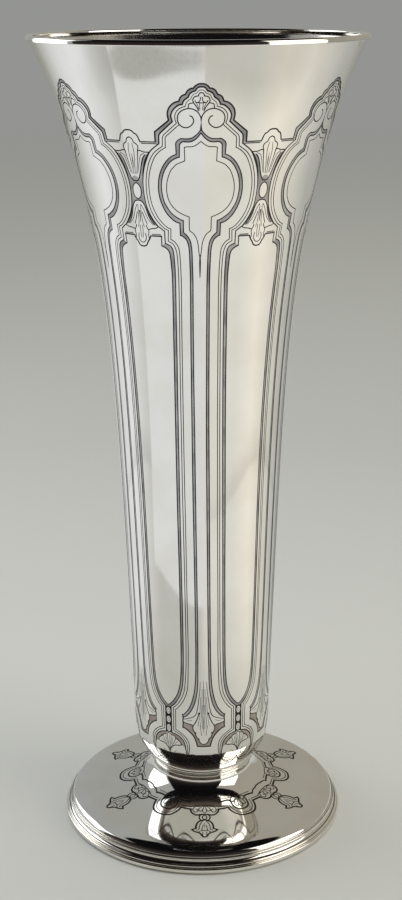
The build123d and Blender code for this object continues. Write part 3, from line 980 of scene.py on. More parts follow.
# The foot's pattern is centred a little off the axis, mm to the right and to the back
FOOT_OFF_AXIS = (1.03, 0.54)

# Where that shift starts out from the neck and in from the dome's edge, and the width over which it
# comes to its full size, mm
SHIFT_FROM_NECK = 1.2
SHIFT_FROM_EDGE = 0.8
SHIFT_FADE = 4


def dome_place(outline):
    half = math.pi / etching().repeats
    neck, edge = sizes().neck_radius + SHIFT_FROM_NECK, Levels().dome_edge - SHIFT_FROM_EDGE

    def place(points, depth, k, side):
        r, _, _, _ = outline.at(points[:, 1])
        turn = 2 * half * k + side * points[:, 0] / DOME_FLAT_RADIUS
        share = np.clip((r - neck) / SHIFT_FADE, 0, 1) * np.clip((edge - r) / SHIFT_FADE, 0, 1)
        share = share * share * (3 - 2 * share)
        x = r * np.sin(turn) + FOOT_OFF_AXIS[0] * share
        y = r * np.cos(turn) - FOOT_OFF_AXIS[1] * share
        s = np.where(share > 0, outline.length_at_radius(np.hypot(x, y)), points[:, 1])
        r, z, nr, nz = outline.at(s)
        turn = np.arctan2(x, y)
        return on_turned(r - nr * depth, z - nz * depth, turn), on_turned(nr, nz, turn)

    return place


def arc(start, middle, end, steps=10):
    """Points on the arc through three points, without its start."""
    (ax, ay), (bx, by), (cx, cy) = start, middle, end
    d = 2 * (ax * (by - cy) + bx * (cy - ay) + cx * (ay - by))
    a, b, c = ax * ax + ay * ay, bx * bx + by * by, cx * cx + cy * cy
    ox = (a * (by - cy) + b * (cy - ay) + c * (ay - by)) / d
    oy = (a * (cx - bx) + b * (ax - cx) + c * (bx - ax)) / d
    angles = [math.atan2(y - oy, x - ox) for x, y in (start, middle, end)]
    turn = (angles[2] - angles[0]) % (2 * math.pi)
    if (angles[1] - angles[0]) % (2 * math.pi) > turn:
        turn -= 2 * math.pi
    radius = math.hypot(ax - ox, ay - oy)
    ways = [angles[0] + turn * k / steps for k in range(1, steps + 1)]
    return [(ox + radius * math.cos(way), oy + radius * math.sin(way)) for way in ways]


def bead(radius, low, high, fullness=0.95):
    """A nearly half-round edge that springs from one radius."""
    crest = radius + fullness * (high - low) / 2
    return [(radius, low)] + arc((radius, low), (crest, (low + high) / 2), (radius, high), 14)


def rounded(corner, before, after, radius, steps=8):
    """A right-angled corner with its rounding."""
    c, b, a = (np.array(p, float) for p in (corner, before, after))
    to_b, to_a = (b - c) / np.linalg.norm(b - c), (a - c) / np.linalg.norm(a - c)
    start, end, centre = c + to_b * radius, c + to_a * radius, c + (to_b + to_a) * radius
    middle = centre - (to_b + to_a) / math.sqrt(2) * radius
    return [tuple(start)] + arc(tuple(start), tuple(middle), tuple(end), steps)


def rings(profile, count, closed, angle_at=None):
    """Points and quads of a profile turned about the axis, outside going up."""
    profile = np.array(profile, float)
    turn = np.arange(count) * 2 * math.pi / count
    offset = np.zeros(len(profile)) if angle_at is None else angle_at
    points = np.vstack([on_turned(r, z, turn + o) for (r, z), o in zip(profile, offset)])
    n, faces = len(profile), []
    for i in range(n if closed else n - 1):
        a, b = i * count, (i + 1) % n * count
        for j in range(count):
            k = (j + 1) % count
            faces.append([a + j, a + k, b + k, b + j])
    return points, faces


def make_object(name, points, faces, indices, materials, node):
    """A new object that rides with the vase and stands for a CAD node."""
    mesh = bpy.data.meshes.new(name)
    mesh.from_pydata((points * MM).tolist(), [], faces)
    for material in materials:
        mesh.materials.append(material)
    mesh.polygons.foreach_set("material_index", np.asarray(indices, np.int32))
    mesh.polygons.foreach_set("use_smooth", np.ones(len(faces), bool))
    mesh.set_sharp_from_angle(angle=math.radians(35))
    mesh.update()
    piece = bpy.data.objects.new(name, mesh)
    bpy.context.scene.collection.objects.link(piece)
    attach(piece, "root")
    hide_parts(node)
    return piece


# How far the black in a groove reaches up its sides, mm
GROOVE_REACH = 0.2


def turned_piece(name, profile, material, node, count=360, grooves=()):
    """A wire or moulding: a closed profile turned about the axis.

    grooves are places on the profile, in the creases where pieces meet, whose faces within GROOVE_REACH get
    the blackened-line material.
    """
    points, faces = rings(profile, count, True)
    keep, (faces,) = welded(points, [np.array(faces)])
    middles = (np.array(profile) + np.roll(profile, -1, axis=0)) / 2
    black = [any(np.hypot(*(m - g)) < GROOVE_REACH for g in np.array(grooves)) for m in middles]
    made = [(list(dict.fromkeys(f.tolist())), int(b)) for f, b in zip(faces, np.repeat(black, count))]
    faces, indices = zip(*[(f, b) for f, b in made if len(f) > 2])
    return make_object(name, points[keep], list(faces), indices, [material, sheet_materials()[1]], node)


def etched_piece(name, etched, closing, materials, node):
    """Etched outside and plain inside as one closed sheet, with the outside's true normals."""
    points, normals, flat, walls, kinds = etched
    more, quads = closing
    quads = np.array(quads) + len(points)
    points = np.vstack([points, more])
    normals = np.vstack([normals, np.zeros_like(more)])
    keep, (flat, walls, quads) = welded(points, [flat, walls, quads])
    points, normals = points[keep], normals[keep]
    whole = (flat[:, 0] != flat[:, 1]) & (flat[:, 1] != flat[:, 2]) & (flat[:, 2] != flat[:, 0])
    flat, kinds = flat[whole], kinds[whole]
    walls = walls[(walls[:, 0] != walls[:, 1]) & (walls[:, 2] != walls[:, 3])]
    faces = flat.tolist() + walls.tolist() + quads.tolist()
    indices = np.concatenate([kinds, np.full(len(walls), Pattern.LINE), np.full(len(quads), WALL)])
    piece = make_object(name, points, faces, indices, materials, node)
    side = np.cross(points[walls[:, 1]] - points[walls[:, 0]], points[walls[:, 2]] - points[walls[:, 1]])
    side /= np.maximum(np.linalg.norm(side, axis=1), 1e-12)[:, None]
    loops = np.vstack([normals[flat.ravel()], np.repeat(side, 4, axis=0), np.zeros((quads.size, 3))])
    piece.data.normals_split_custom_set(loops.tolist())
    return piece


# Columns of the etched pieces on half a repeat
COLUMNS = 24

# Rows of the loose grid: how far in from the lower and from the upper edge they start and end, and
# the step between them, mm
TRUMPET_GRID = (1.5, 1, 3)
DOME_GRID = (0.8, 0.5, 0.9)

# Rows of the plain inside, and how far the ledge's corner stands in from the last of the trumpet's, mm
TRUMPET_ROWS = 110
DOME_ROWS = 80
LEDGE_CORNER = 0.1

# Columns of the turned pieces
WIRE_COLUMNS = 480
COLLAR_COLUMNS = 360
DISC_COLUMNS = 180

# The black seam round the cove's bead, on the flange: its middle and where the flange is cut for it,
# mm out from the bead's seat
SEAM_MIDDLE = 0.1
SEAM_CUT = 0.3


def grid_rows(low, high, start, end, step):
    """Places of the loose grid's rows between two edges."""
    return np.arange(low + start, high - end, step)


def inner_line(outline, low, high, count):
    """Points of the sheet's inside between two heights."""
    inside = outline.p - outline.n * sizes().sheet
    rows = inside[(inside[:, 1] > low) & (inside[:, 1] < high)]
    pick = np.linspace(0, len(rows) - 1, count).astype(int)
    return rows[pick]


def trumpet_closing(outline):
    """From the cut upper edge down the inside, over the ledge and back to the lower edge."""
    at = Levels()
    inside = inner_line(outline, at.trumpet_base + sizes().sheet, at.trumpet_top, TRUMPET_ROWS)[::-1]
    top = outline.p[-1]
    _, _, nr, _ = outline.at(outline.length)
    ledge = at.trumpet_base + sizes().sheet
    profile = [tuple(top), (top[0] - sizes().sheet / nr, at.trumpet_top), *map(tuple, inside),
               (inside[-1][0] - LEDGE_CORNER, ledge), (at.collar_bore, ledge),
               (at.collar_bore, at.trumpet_base), tuple(outline.p[0])]
    profile = np.array(profile)
    share = np.clip((profile[:, 1] - at.trumpet_base) / (at.trumpet_top - at.trumpet_base), 0, 1)
    low = trumpet_angle(outline.p[0, 1], outline.p[0, 0])
    high = trumpet_angle(outline.p[-1, 1], outline.p[-1, 0])
    return rings(profile, 2 * etching().repeats * COLUMNS, False, low + (high - low) * share)


def dome_closing(outline):
    """From the neck's upper edge down the hollow underside to the dome's edge."""
    at = Levels()
    inside = inner_line(outline, at.reed_top, at.neck_top, DOME_ROWS)[::-1]
    neck = outline.p[-1]
    _, _, nr, _ = outline.at(outline.length)
    edge = outline.p[0]
    profile = [tuple(neck), (neck[0] - sizes().sheet / nr, at.neck_top), *map(tuple, inside),
               (at.dome_edge - sizes().sheet, at.reed_top), tuple(edge)]
    return rings(profile, 2 * etching().repeats * COLUMNS, False)


# Materials


def node(tree, kind, links=(), **settings):
    """Adds a node, sets its values and sockets, and links sockets to it.

    A setting named like an input socket, with _ for a space, sets that socket. links are
    (socket, source output) pairs.
    """
    made = tree.nodes.new(kind)
    for name, value in settings.items():
        socket = next((s for s in made.inputs if s.name.replace(" ", "_") == name), None)
        if socket is not None:
            socket.default_value = value
        else:
            setattr(made, name, value)
    for name, source in links:
        tree.links.new(source, made.inputs[name])
    return made


# Grain of the silver, mm: its soft clouds, the hammer's waves, and the wiping marks, which run up
# and down and are drawn coarser than real ones, which would be too fine to show
CLOUD_SIZE = 28
HAMMER_SIZE = 17
WIPE_WIDTH = 0.9
WIPE_DEPTH = 0.002

# Size of the patches where the oxide is worn, mm
WEAR_SIZE = 9


def metal(name, colours, roughness, scratch, waves):
    """Polished silver: two close tones in soft clouds, wiping marks in the gloss, faint waves of the hammer.

    colours are the brighter and the duller tone, roughness the two ends of the gloss,
    scratch the strength of the wiping marks, waves the height of the hammer's waves, mm.
    """
    material = bpy.data.materials.new(name)
    material.use_nodes = True
    tree = material.node_tree
    tree.nodes.clear()
    place = node(tree, "ShaderNodeTexCoord").outputs["Object"]
    clouds = node(tree, "ShaderNodeTexNoise", [("Vector", place)], Scale=1 / (CLOUD_SIZE * MM), Detail=3.0,
                  Roughness=0.55)
    tone = node(tree, "ShaderNodeValToRGB", [("Fac", clouds.outputs["Fac"])])
    tone.color_ramp.elements[0].position = 0.35
    tone.color_ramp.elements[0].color = colours[1]
    tone.color_ramp.elements[1].position = 0.62
    tone.color_ramp.elements[1].color = colours[0]
    stretched = node(tree, "ShaderNodeMapping", [("Vector", place)], Scale=(1.0, 1.0, 0.12))
    wiped = node(tree, "ShaderNodeTexNoise", [("Vector", stretched.outputs["Vector"])],
                 Scale=1 / (WIPE_WIDTH * MM),
                 Detail=4.0, Roughness=0.6)
    gloss = node(tree, "ShaderNodeMapRange", [("Value", wiped.outputs["Fac"])], **{
        "From_Min": 0.3, "From_Max": 0.7, "To_Min": roughness[0], "To_Max": roughness[1]})
    hammered = node(tree, "ShaderNodeTexNoise", [("Vector", place)], Scale=1 / (HAMMER_SIZE * MM), Detail=1.0)
    broad = node(tree, "ShaderNodeBump", [("Height", hammered.outputs["Fac"])], Strength=1.0,
                 Distance=waves * MM)
    fine = node(tree, "ShaderNodeBump", [("Height", wiped.outputs["Fac"]),
                                         ("Normal", broad.outputs["Normal"])],
                Strength=scratch, Distance=WIPE_DEPTH * MM)
    shader = node(tree, "ShaderNodeBsdfPrincipled", [
        ("Base Color", tone.outputs["Color"]), ("Roughness", gloss.outputs["Result"]),
        ("Normal", fine.outputs["Normal"])], Metallic=1.0)
    node(tree, "ShaderNodeOutputMaterial", [("Surface", shader.outputs["BSDF"])])
    return material


def oxide(name, colours, metallic, roughness, grain, depth):
    """Etched silver under a dark oxide: two tones in fine grain, with the pitted floor of the acid.

    colours are the lighter and the darker tone, grain the size of the pits and depth their depth, mm.
    """
    material = bpy.data.materials.new(name)
    material.use_nodes = True
    tree = material.node_tree
    tree.nodes.clear()
    place = node(tree, "ShaderNodeTexCoord").outputs["Object"]
    pits = node(tree, "ShaderNodeTexNoise", [("Vector", place)], Scale=1 / (grain * MM), Detail=3.0,
                Roughness=0.6)
    wear = node(tree, "ShaderNodeTexNoise", [("Vector", place)], Scale=1 / (WEAR_SIZE * MM), Detail=2.0)
    both = node(tree, "ShaderNodeMath", [(0, pits.outputs["Fac"]), (1, wear.outputs["Fac"])],
                operation="MULTIPLY")
    tone = node(tree, "ShaderNodeValToRGB", [("Fac", both.outputs["Value"])])
    tone.color_ramp.elements[0].position = 0.15
    tone.color_ramp.elements[0].color = colours[1]
    tone.color_ramp.elements[1].position = 0.36
    tone.color_ramp.elements[1].color = colours[0]
    bump = node(tree, "ShaderNodeBump", [("Height", pits.outputs["Fac"])], Strength=0.8, Distance=depth * MM)
    shader = node(tree, "ShaderNodeBsdfPrincipled", [
        ("Base Color", tone.outputs["Color"]), ("Normal", bump.outputs["Normal"])],
        Metallic=metallic, Roughness=roughness)
    node(tree, "ShaderNodeOutputMaterial", [("Surface", shader.outputs["BSDF"])])
    return material


def once(name, make, *settings):
    """The material of that name, made at its first use."""
    return bpy.data.materials.get(name) or make(name, *settings)


def sheet_materials():
    """What an etched sheet wears, in the order of the pattern's kinds, with its plain back last."""
    c = finish()
    return [
        # mirror-bright raised surface, with wiping marks that soften the reflections a little
        once("sterling_polished", metal, (c.polished_bright, c.polished_dull), (0.045, 0.075), 0.12, 0.006),
        # the blackened cuts, matt so that they stay dark in any light
        once("etched_line_blackened", oxide, (c.cut_worn, c.cut_black), 0.25, 0.55, 0.12, 0.02),
        # channels between two cuts: a little greyer than the raised silver, and softer
        once("etched_channel_grey", oxide, (c.channel_pale, c.channel_grey), 1.0, 0.24, 0.15, 0.004),
        # grounds behind the leaves: brown oxide with a dull sheen
        once("etched_ground_brown", oxide, (c.ground_pale, c.ground_brown), 0.9, 0.36, 0.2, 0.008),
        # inside, never polished as far as the outside
        once("sterling_plain", metal, (c.inside_bright, c.inside_dull), (0.10, 0.17), 0.2, 0.02),
    ]


def wire_material():
    # wires and mouldings are drawn and buffed: brightest of all, with no hammer waves
    c = finish()
    return once("sterling_wire", metal, (c.wire_bright, c.wire_dull), (0.04, 0.07), 0.1, 0.003)


# Stage

# Softboxes: name, place (m), what they face (m), width and height (m), colour, brightness (1 is
# white), and whether the silver mirrors them
SOFTBOXES = [
    ("side_left", (-0.833, 0.362, 0.51), (0, 0, 0.51), 0.75, 0.76, "#FAFCFF", 1.75, True),
    ("side_right", (0.794, -0.337, 0.55), (0, 0, 0.55), 0.70, 0.90, "#FFFAF0", 1.93, True),
    ("overhead", (0.0, 0.3, 2.8), (0, 0, 0), 2.4, 2.0, "#FFFFFF", 1.9, False),
]

# Directions round the vase in which the silver mirrors each tone of the surroundings, degrees to
# the right of the front
TONE_TURNS = [(-180, "tone_back"), (-105, "tone_left"), (-60, "tone_front"), (-2, "tone_front"),
              (5, "tone_front_right"), (45, "tone_front_right"), (70, "tone_right"), (130, "tone_back"),
              (180, "tone_back")]

# The vase mirrors its sides from higher up, at the same slant further out, so what lies round it
# is this much narrower in front than at the sides
SQUEEZE = 0.74

# Reaches in front of the glowing card that stands for the lit paper and of the glowing low ring over it,
# mm, and the ring's height
PAPER_REACH = (260, 1600)
RING_REACH = (45, 290)
RING_HEIGHT = 35

# Reaches in front between which the paper's light comes to its full strength, and the reaches
# where the paper's and the ring's light are clear and where they are solid, mm
SLANT_REACH = (340, 400)
PAPER_SOLID = (1500, 750)
RING_SOLID = (50, 210)

# Heights of the paper's light and of the cool card over the paper, and of its part over the ring, mm
PAPER_LIFT = 0.6
CARD_LIFT = 1.2
CARD_RING_LIFT = 0.5

# The glowing cool card in front, no lamp, that only the silver mirrors: its turns, degrees, and its
# reaches on the paper and on the low ring, mm
CARD_TURNS = (-64, 4)
CARD_REACH = (337, 900)
CARD_RING_REACH = (185, 290)

# Places round the vase where the paper's light and the cool card are worked out
PAPER_STEPS = 121
CARD_STEPS = 40

# The unlit room: its reach (m), the heights (m) of its tones, and its parts with their turns to the
# right of the front and their rises over the table, degrees
DARK_REACH = 1.0
DARK_HEIGHTS = [(0.0, "dark_table"), (0.15, "dark_low"), (0.3, "dark_middle"), (0.6, "dark_high"),
                (0.8, "dark_top")]
DARK_PARTS = [("dark_in_front", (-86, 44), (0, 60)), ("dark_overhead", (-180, 180), (58, 90))]
DARK_STEPS = (61, 21)

# The paper: radii of its rings, mm, its columns, and the reaches (m) over which its painted light and
# shade change and over which it fades into the backdrop
FLOOR_RINGS = (8000, 5000, 3000, 2000, 1500, 800, 300, 100, 1)
FLOOR_COLUMNS = 96
TONE_REACH = (0.1, 2.6)
HAZE_REACH = (1.0, 4.0)

# Tooth of the paper, mm
TOOTH_SIZE = 1.5
TOOTH_DEPTH = 0.05


def show_only_in_metal(piece):
    """Out of the camera's sight, and out of the light that falls on the paper."""
    piece.visible_camera = False
    piece.visible_diffuse = False
    piece.visible_shadow = False


def card(name, points, faces, material):
    """A surface of the surroundings that only the silver sees."""
    mesh = bpy.data.meshes.new(name)
    mesh.from_pydata(points, [], faces)
    mesh.materials.append(material)
    piece = bpy.data.objects.new(name, mesh)
    bpy.context.scene.collection.objects.link(piece)
    show_only_in_metal(piece)


def grid_faces(rows, columns):
    return [[r * columns + i, (r + 1) * columns + i, (r + 1) * columns + i + 1, r * columns + i + 1]
            for r in range(rows - 1) for i in range(columns - 1)]


def fill_ramp(ramp, stops):
    """Colour ramp with the given positions, 0 to 1, and colours."""
    while len(ramp.elements) < len(stops):
        ramp.elements.new(0.5)
    for element, (position, tone) in zip(ramp.elements, stops):
        element.position = position
        element.color = tone


def glow_material(name):
    """A new material and its empty tree, for a surface that only glows."""
    material = bpy.data.materials.new(name)
    material.use_nodes = True
    material.node_tree.nodes.clear()
    return material, material.node_tree


def plain_glow(name, tone):
    """Even light of one colour, only on the upper side."""
    material, tree = glow_material(name)
    light = node(tree, "ShaderNodeEmission", Color=tone, Strength=1.0)
    one_sided(tree, light.outputs["Emission"])
    return material


def one_sided(tree, light, shown=None):
    """Light from the front of a face, nothing from its back. shown is how solid the face is."""
    hidden = node(tree, "ShaderNodeNewGeometry").outputs["Backfacing"]
    if shown is not None:
        gone = node(tree, "ShaderNodeMath", [(1, shown)], operation="SUBTRACT", Value=1.0)
        hidden = node(tree, "ShaderNodeMath", [(0, hidden), (1, gone.outputs["Value"])],
                      operation="MAXIMUM").outputs["Value"]
    clear = node(tree, "ShaderNodeBsdfTransparent").outputs["BSDF"]
    mixed = node(tree, "ShaderNodeMixShader", [(0, hidden), (1, light), (2, clear)])
    node(tree, "ShaderNodeOutputMaterial", [("Surface", mixed.outputs["Shader"])])


def tones_round(tree, place, stops):
    """Colour by the direction from the vase: degrees round from the front, and the tone there."""
    parts = node(tree, "ShaderNodeSeparateXYZ", [("Vector", place)])
    front = node(tree, "ShaderNodeMath", [(1, parts.outputs["Y"])], operation="MULTIPLY", Value=-1.0)
    angle = node(tree, "ShaderNodeMath", [(0, parts.outputs["X"]), (1, front.outputs["Value"])],
                 operation="ARCTAN2")
    share = node(tree, "ShaderNodeMapRange", [("Value", angle.outputs["Value"])], **{
        "From_Min": -math.pi, "From_Max": math.pi})
    ramp = node(tree, "ShaderNodeValToRGB", [("Fac", share.outputs["Result"])])
    fill_ramp(ramp.color_ramp, [((turn + 180) / 360, tone) for turn, tone in stops])
    return ramp.outputs["Color"]


def reach_share(tree, place, start, end):
    """0 at one reach from the vase's axis, mm, and 1 at another."""
    reach = node(tree, "ShaderNodeVectorMath", [("Vector", place)], operation="LENGTH")
    share = node(tree, "ShaderNodeMapRange", [("Value", reach.outputs["Value"])], **{
        "From_Min": start * MM, "From_Max": end * MM})
    return share.outputs["Result"]


def glow_round(name, near_strength, solid):
    """Light whose tone goes round the vase, dimmer where it is seen steeply.

    solid are the reaches, mm, where the face is clear and where it is solid.
    """
    v = bpy.context.scene.vase_stage
    material, tree = glow_material(name)
    place = node(tree, "ShaderNodeTexCoord").outputs["Object"]
    squeezed = node(tree, "ShaderNodeMapping", [("Vector", place)],
                    Scale=(SQUEEZE, 1.0, 1.0)).outputs["Vector"]
    strength = node(tree, "ShaderNodeMapRange", [("Value", reach_share(tree, squeezed, *SLANT_REACH))],
                    To_Min=near_strength)
    tone = tones_round(tree, place, [(turn, getattr(v, tone)) for turn, tone in TONE_TURNS])
    light = node(tree, "ShaderNodeEmission", [("Color", tone), ("Strength", strength.outputs["Result"])])
    one_sided(tree, light.outputs["Emission"], reach_share(tree, place, *solid))
    return material


def ring_card(name, turns, lower, upper, material):
    """A card round the vase, at the given turns, degrees. lower and upper are reach and height, mm."""
    rows = [on_turned(reach * MM, height * MM, np.radians(turns)) / (SQUEEZE, 1, 1)
            for reach, height in (lower, upper)]
    card(name, [tuple(p) for row in rows for p in row], grid_faces(2, len(turns)), material)


def make_table_glow():
    """What the silver mirrors of the paper: glowing cards, no lamps, with tones round the vase and a cool
    card in front.
    """
    v = bpy.context.scene.vase_stage
    turns = np.linspace(-180, 180, PAPER_STEPS)
    inner, outer = PAPER_REACH
    # glowing stand-ins for the lit paper, painted reflections that only the silver sees
    paper = glow_round("table_glow", v.near_strength, PAPER_SOLID)
    ring_card("table_glow", turns, (inner, PAPER_LIFT), (outer, PAPER_LIFT), paper)
    inner, outer = RING_REACH
    ring = glow_round("low_ring_glow", 1.0, RING_SOLID)
    ring_card("low_ring_glow", turns, (inner, RING_HEIGHT), (outer, RING_HEIGHT), ring)
    turns = np.linspace(*CARD_TURNS, CARD_STEPS)
    for name, (inner, outer), height in (
            ("card_cool", CARD_REACH, CARD_LIFT),
            ("ring_cool", CARD_RING_REACH, RING_HEIGHT + CARD_RING_LIFT)):
        ring_card(name, turns, (inner, height), (outer, height), plain_glow(name, v.tone_card))


def dark_material():
    """The unlit room: brown low down, near black higher up."""
    v = bpy.context.scene.vase_stage
    material, tree = glow_material("dark_room")
    place = node(tree, "ShaderNodeTexCoord").outputs["Object"]
    parts = node(tree, "ShaderNodeSeparateXYZ", [("Vector", place)])
    ramp = node(tree, "ShaderNodeValToRGB", [("Fac", parts.outputs["Z"])])
    fill_ramp(ramp.color_ramp, [(height, getattr(v, tone)) for height, tone in DARK_HEIGHTS])
    light = node(tree, "ShaderNodeEmission", [("Color", ramp.outputs["Color"])], Strength=1.0)
    node(tree, "ShaderNodeOutputMaterial", [("Surface", light.outputs["Emission"])])
    return material


def make_dark_room():
    """The dark in front of the vase and over it."""
    dark = dark_material()
    for name, sideways, upwards in DARK_PARTS:
        turns = np.radians(np.linspace(*sideways, DARK_STEPS[0]))
        rises = np.radians(np.linspace(*upwards, DARK_STEPS[1]))
        points = [tuple(p) for rise in rises
                  for p in on_turned(DARK_REACH * math.cos(rise), DARK_REACH * math.sin(rise), turns)]
        card(name, points, grid_faces(len(rises), len(turns)), dark)


def softbox(name, place, aim, width, height, tone, brightness, mirrored):
    """A rectangular lamp that the camera doesn't see."""
    lamp = bpy.data.lights.new(name, "AREA")
    lamp.shape = "RECTANGLE"
    lamp.size, lamp.size_y = width, height
    lamp.color = linear(tone)[:3]
    lamp.energy = brightness * math.pi * width * height
    piece = bpy.data.objects.new(name, lamp)
    piece.location = place
    piece.rotation_euler = (Vector(aim) - Vector(place)).to_track_quat("-Z", "Y").to_euler()
    piece.visible_camera = False
    piece.visible_glossy = mirrored
    bpy.context.scene.collection.objects.link(piece)
    return piece


def floor_material():
    """Pale grey paper with the faint tooth of the sheet, that fades into the backdrop far off, with painted
    light near the vase, painted shade behind it and painted light again far off.
    """
    v = bpy.context.scene.vase_stage
    material = bpy.data.materials.new("paper_grey")
    material.use_nodes = True
    tree = material.node_tree
    tree.nodes.clear()
    place = node(tree, "ShaderNodeTexCoord").outputs["Object"]
    far = node(tree, "ShaderNodeVectorMath", [("Vector", place)], operation="LENGTH")
    share = node(tree, "ShaderNodeMapRange", [("Value", far.outputs["Value"])],
                 From_Min=TONE_REACH[0], From_Max=TONE_REACH[1])
    # painted light and shade: the paper's tone is lighter near the vase, darker behind it and lighter again
    # far off
    tone = node(tree, "ShaderNodeValToRGB", [("Fac", share.outputs["Result"])])
    fill_ramp(tone.color_ramp, [(0, v.paper_near_painted_light), (0.2, v.paper_mid_painted_shade), (1, v.paper_far_painted_light)])
    tooth = node(tree, "ShaderNodeTexNoise", [("Vector", place)], Scale=1 / (TOOTH_SIZE * MM), Detail=2.0)
    bump = node(tree, "ShaderNodeBump", [("Height", tooth.outputs["Fac"])],
                Strength=0.1, Distance=TOOTH_DEPTH * MM)
    shader = node(tree, "ShaderNodeBsdfPrincipled", [
        ("Base Color", tone.outputs["Color"]), ("Normal", bump.outputs["Normal"])], Roughness=0.6)
    haze = node(tree, "ShaderNodeEmission", Color=v.haze, Strength=1.0)
    hazy = node(tree, "ShaderNodeMapRange", [("Value", far.outputs["Value"])],
                 interpolation_type="SMOOTHSTEP", From_Min=HAZE_REACH[0], From_Max=HAZE_REACH[1])
    mixed = node(tree, "ShaderNodeMixShader", [
        (0, hazy.outputs["Result"]), (1, shader.outputs["BSDF"]), (2, haze.outputs["Emission"])])
    node(tree, "ShaderNodeOutputMaterial", [("Surface", mixed.outputs["Shader"])])
    return material


def make_floor():
    """A wide round sheet of paper, the same on every side."""
    points, faces = rings([(r, 0) for r in FLOOR_RINGS], FLOOR_COLUMNS, False)
    mesh = bpy.data.meshes.new("paper_table")
    mesh.from_pydata((points * MM).tolist(), [], faces)
    mesh.materials.append(floor_material())
    mesh.polygons.foreach_set("use_smooth", np.ones(len(faces), bool))
    floor = bpy.data.objects.new("paper_table", mesh)
    bpy.context.scene.collection.objects.link(floor)


def make_camera():
    """The camera of the photograph: looks down at the vase, a hair off level."""
    v = bpy.context.scene.vase_stage
    data = bpy.data.cameras.new("photo_camera")
    data.lens = v.lens
    data.sensor_width = 36
    data.clip_start = 0.01
    camera = bpy.data.objects.new("photo_camera", data)
    bpy.context.scene.collection.objects.link(camera)
    camera.matrix_world = (
        Matrix.Translation((0, -v.camera_back * MM, v.camera_height * MM))
        @ Matrix.Rotation(-math.radians(v.yaw), 4, "Z")
        @ Matrix.Rotation(math.radians(90 - v.pitch), 4, "X")
        @ Matrix.Rotation(math.radians(v.roll), 4, "Z"))
    bpy.context.scene.camera = camera


def make_world():
    """Grey studio air, a little warmer on the right, and the backdrop's own tone for the camera."""
    v = bpy.context.scene.vase_stage
    world = bpy.data.worlds.new("studio_air")
    world.use_nodes = True
    tree = world.node_tree
    tree.nodes.clear()
    seen = node(tree, "ShaderNodeLightPath").outputs["Is Camera Ray"]
    way = node(tree, "ShaderNodeTexCoord").outputs["Generated"]
    across = node(tree, "ShaderNodeSeparateXYZ", [("Vector", way)]).outputs["X"]
    share = node(tree, "ShaderNodeMapRange", [("Value", across)], From_Min=-0.25, From_Max=0.25)
    tone = node(tree, "ShaderNodeValToRGB", [("Fac", share.outputs["Result"])])
    fill_ramp(tone.color_ramp, [(0, v.air_left), (1, v.air_right)])
    air = node(tree, "ShaderNodeBackground", [("Color", tone.outputs["Color"])], Strength=1.0)
    backdrop = node(tree, "ShaderNodeBackground", Color=v.haze, Strength=1.0)
    mixed = node(tree, "ShaderNodeMixShader", [
        (0, seen), (1, air.outputs["Background"]), (2, backdrop.outputs["Background"])])
    node(tree, "ShaderNodeOutputWorld", [("Surface", mixed.outputs["Shader"])])
    bpy.context.scene.world = world


# Operators


class VASE_OT_trumpet(bpy.types.Operator):
    """Builds the etched trumpet"""

    bl_idname = "vase.trumpet"
    bl_label = "Etched trumpet"

    def execute(self, context):
        e, at = etching(), Levels()
        outline = Outline(trumpet_points())
        rows = grid_rows(at.trumpet_base, at.trumpet_top, *TRUMPET_GRID)
        half = half_repeat(trumpet_pattern(outline), math.pi / e.repeats * TRUMPET_FLAT_RADIUS,
                           at.trumpet_base, at.trumpet_top, COLUMNS, rows)
        etched = etched_sheet(half, trumpet_place(outline), (0, e.ground_depth, e.line_depth))
        etched_piece("etched_trumpet", etched, trumpet_closing(outline), sheet_materials(),
                     "trumpet_wall")
        return {"FINISHED"}


class VASE_OT_foot(bpy.types.Operator):
    """Builds the etched dome of the foot"""

    bl_idname = "vase.foot"
    bl_label = "Etched foot dome"

    def execute(self, context):
        e = etching()
        outline = Outline(dome_points())
        rows = grid_rows(0, outline.length, *DOME_GRID)
        half = half_repeat(dome_pattern(outline), math.pi / e.repeats * DOME_FLAT_RADIUS, 0, outline.length,
                           COLUMNS, rows)
        etched = etched_sheet(half, dome_place(outline), (0, e.ground_depth, e.line_depth))
        etched_piece("etched_foot_dome", etched, dome_closing(outline), sheet_materials(),
                     "foot_dome")
        return {"FINISHED"}


class VASE_OT_wires(bpy.types.Operator):
    """Builds the lip wire and the two collar wires"""

    bl_idname = "vase.wires"
    bl_label = "Lip and collar wires"

    def execute(self, context):
        v, at = sizes(), Levels()
        outline = Outline(trumpet_points())
        low, high = at.trumpet_top, at.vase_height
        inner = v.mouth_radius - v.sheet / outline.at(outline.length)[2] - v.lip_inset
        outer = v.mouth_radius + v.lip_overhang
        lip = [*rounded((outer, low), (inner, low), (outer, high), v.lip_under_round),
               *rounded((outer, high), (outer, low), (inner, high), v.lip_outer_round),
               *rounded((inner, high), (outer, high), (inner, low), v.lip_inner_round),
               *rounded((inner, low), (inner, high), (outer, low), v.lip_inner_round)]
        turned_piece("rim_wire", lip, wire_material(), "lip_wire", WIRE_COLUMNS)
        for name, base, top, stands_for in (
                ("collar_bead_lower", at.neck_top, at.collar_middle, "collar_wire_lower"),
                ("collar_bead_upper", at.collar_middle, at.trumpet_base, "collar_wire_upper")):
            profile = [(at.collar_bore, base), *bead(v.neck_radius, base, top), (at.collar_bore, top)]
            turned_piece(name, profile, wire_material(), stands_for, COLLAR_COLUMNS,
                         [(v.neck_radius, base), (v.neck_radius, top)])
        return {"FINISHED"}


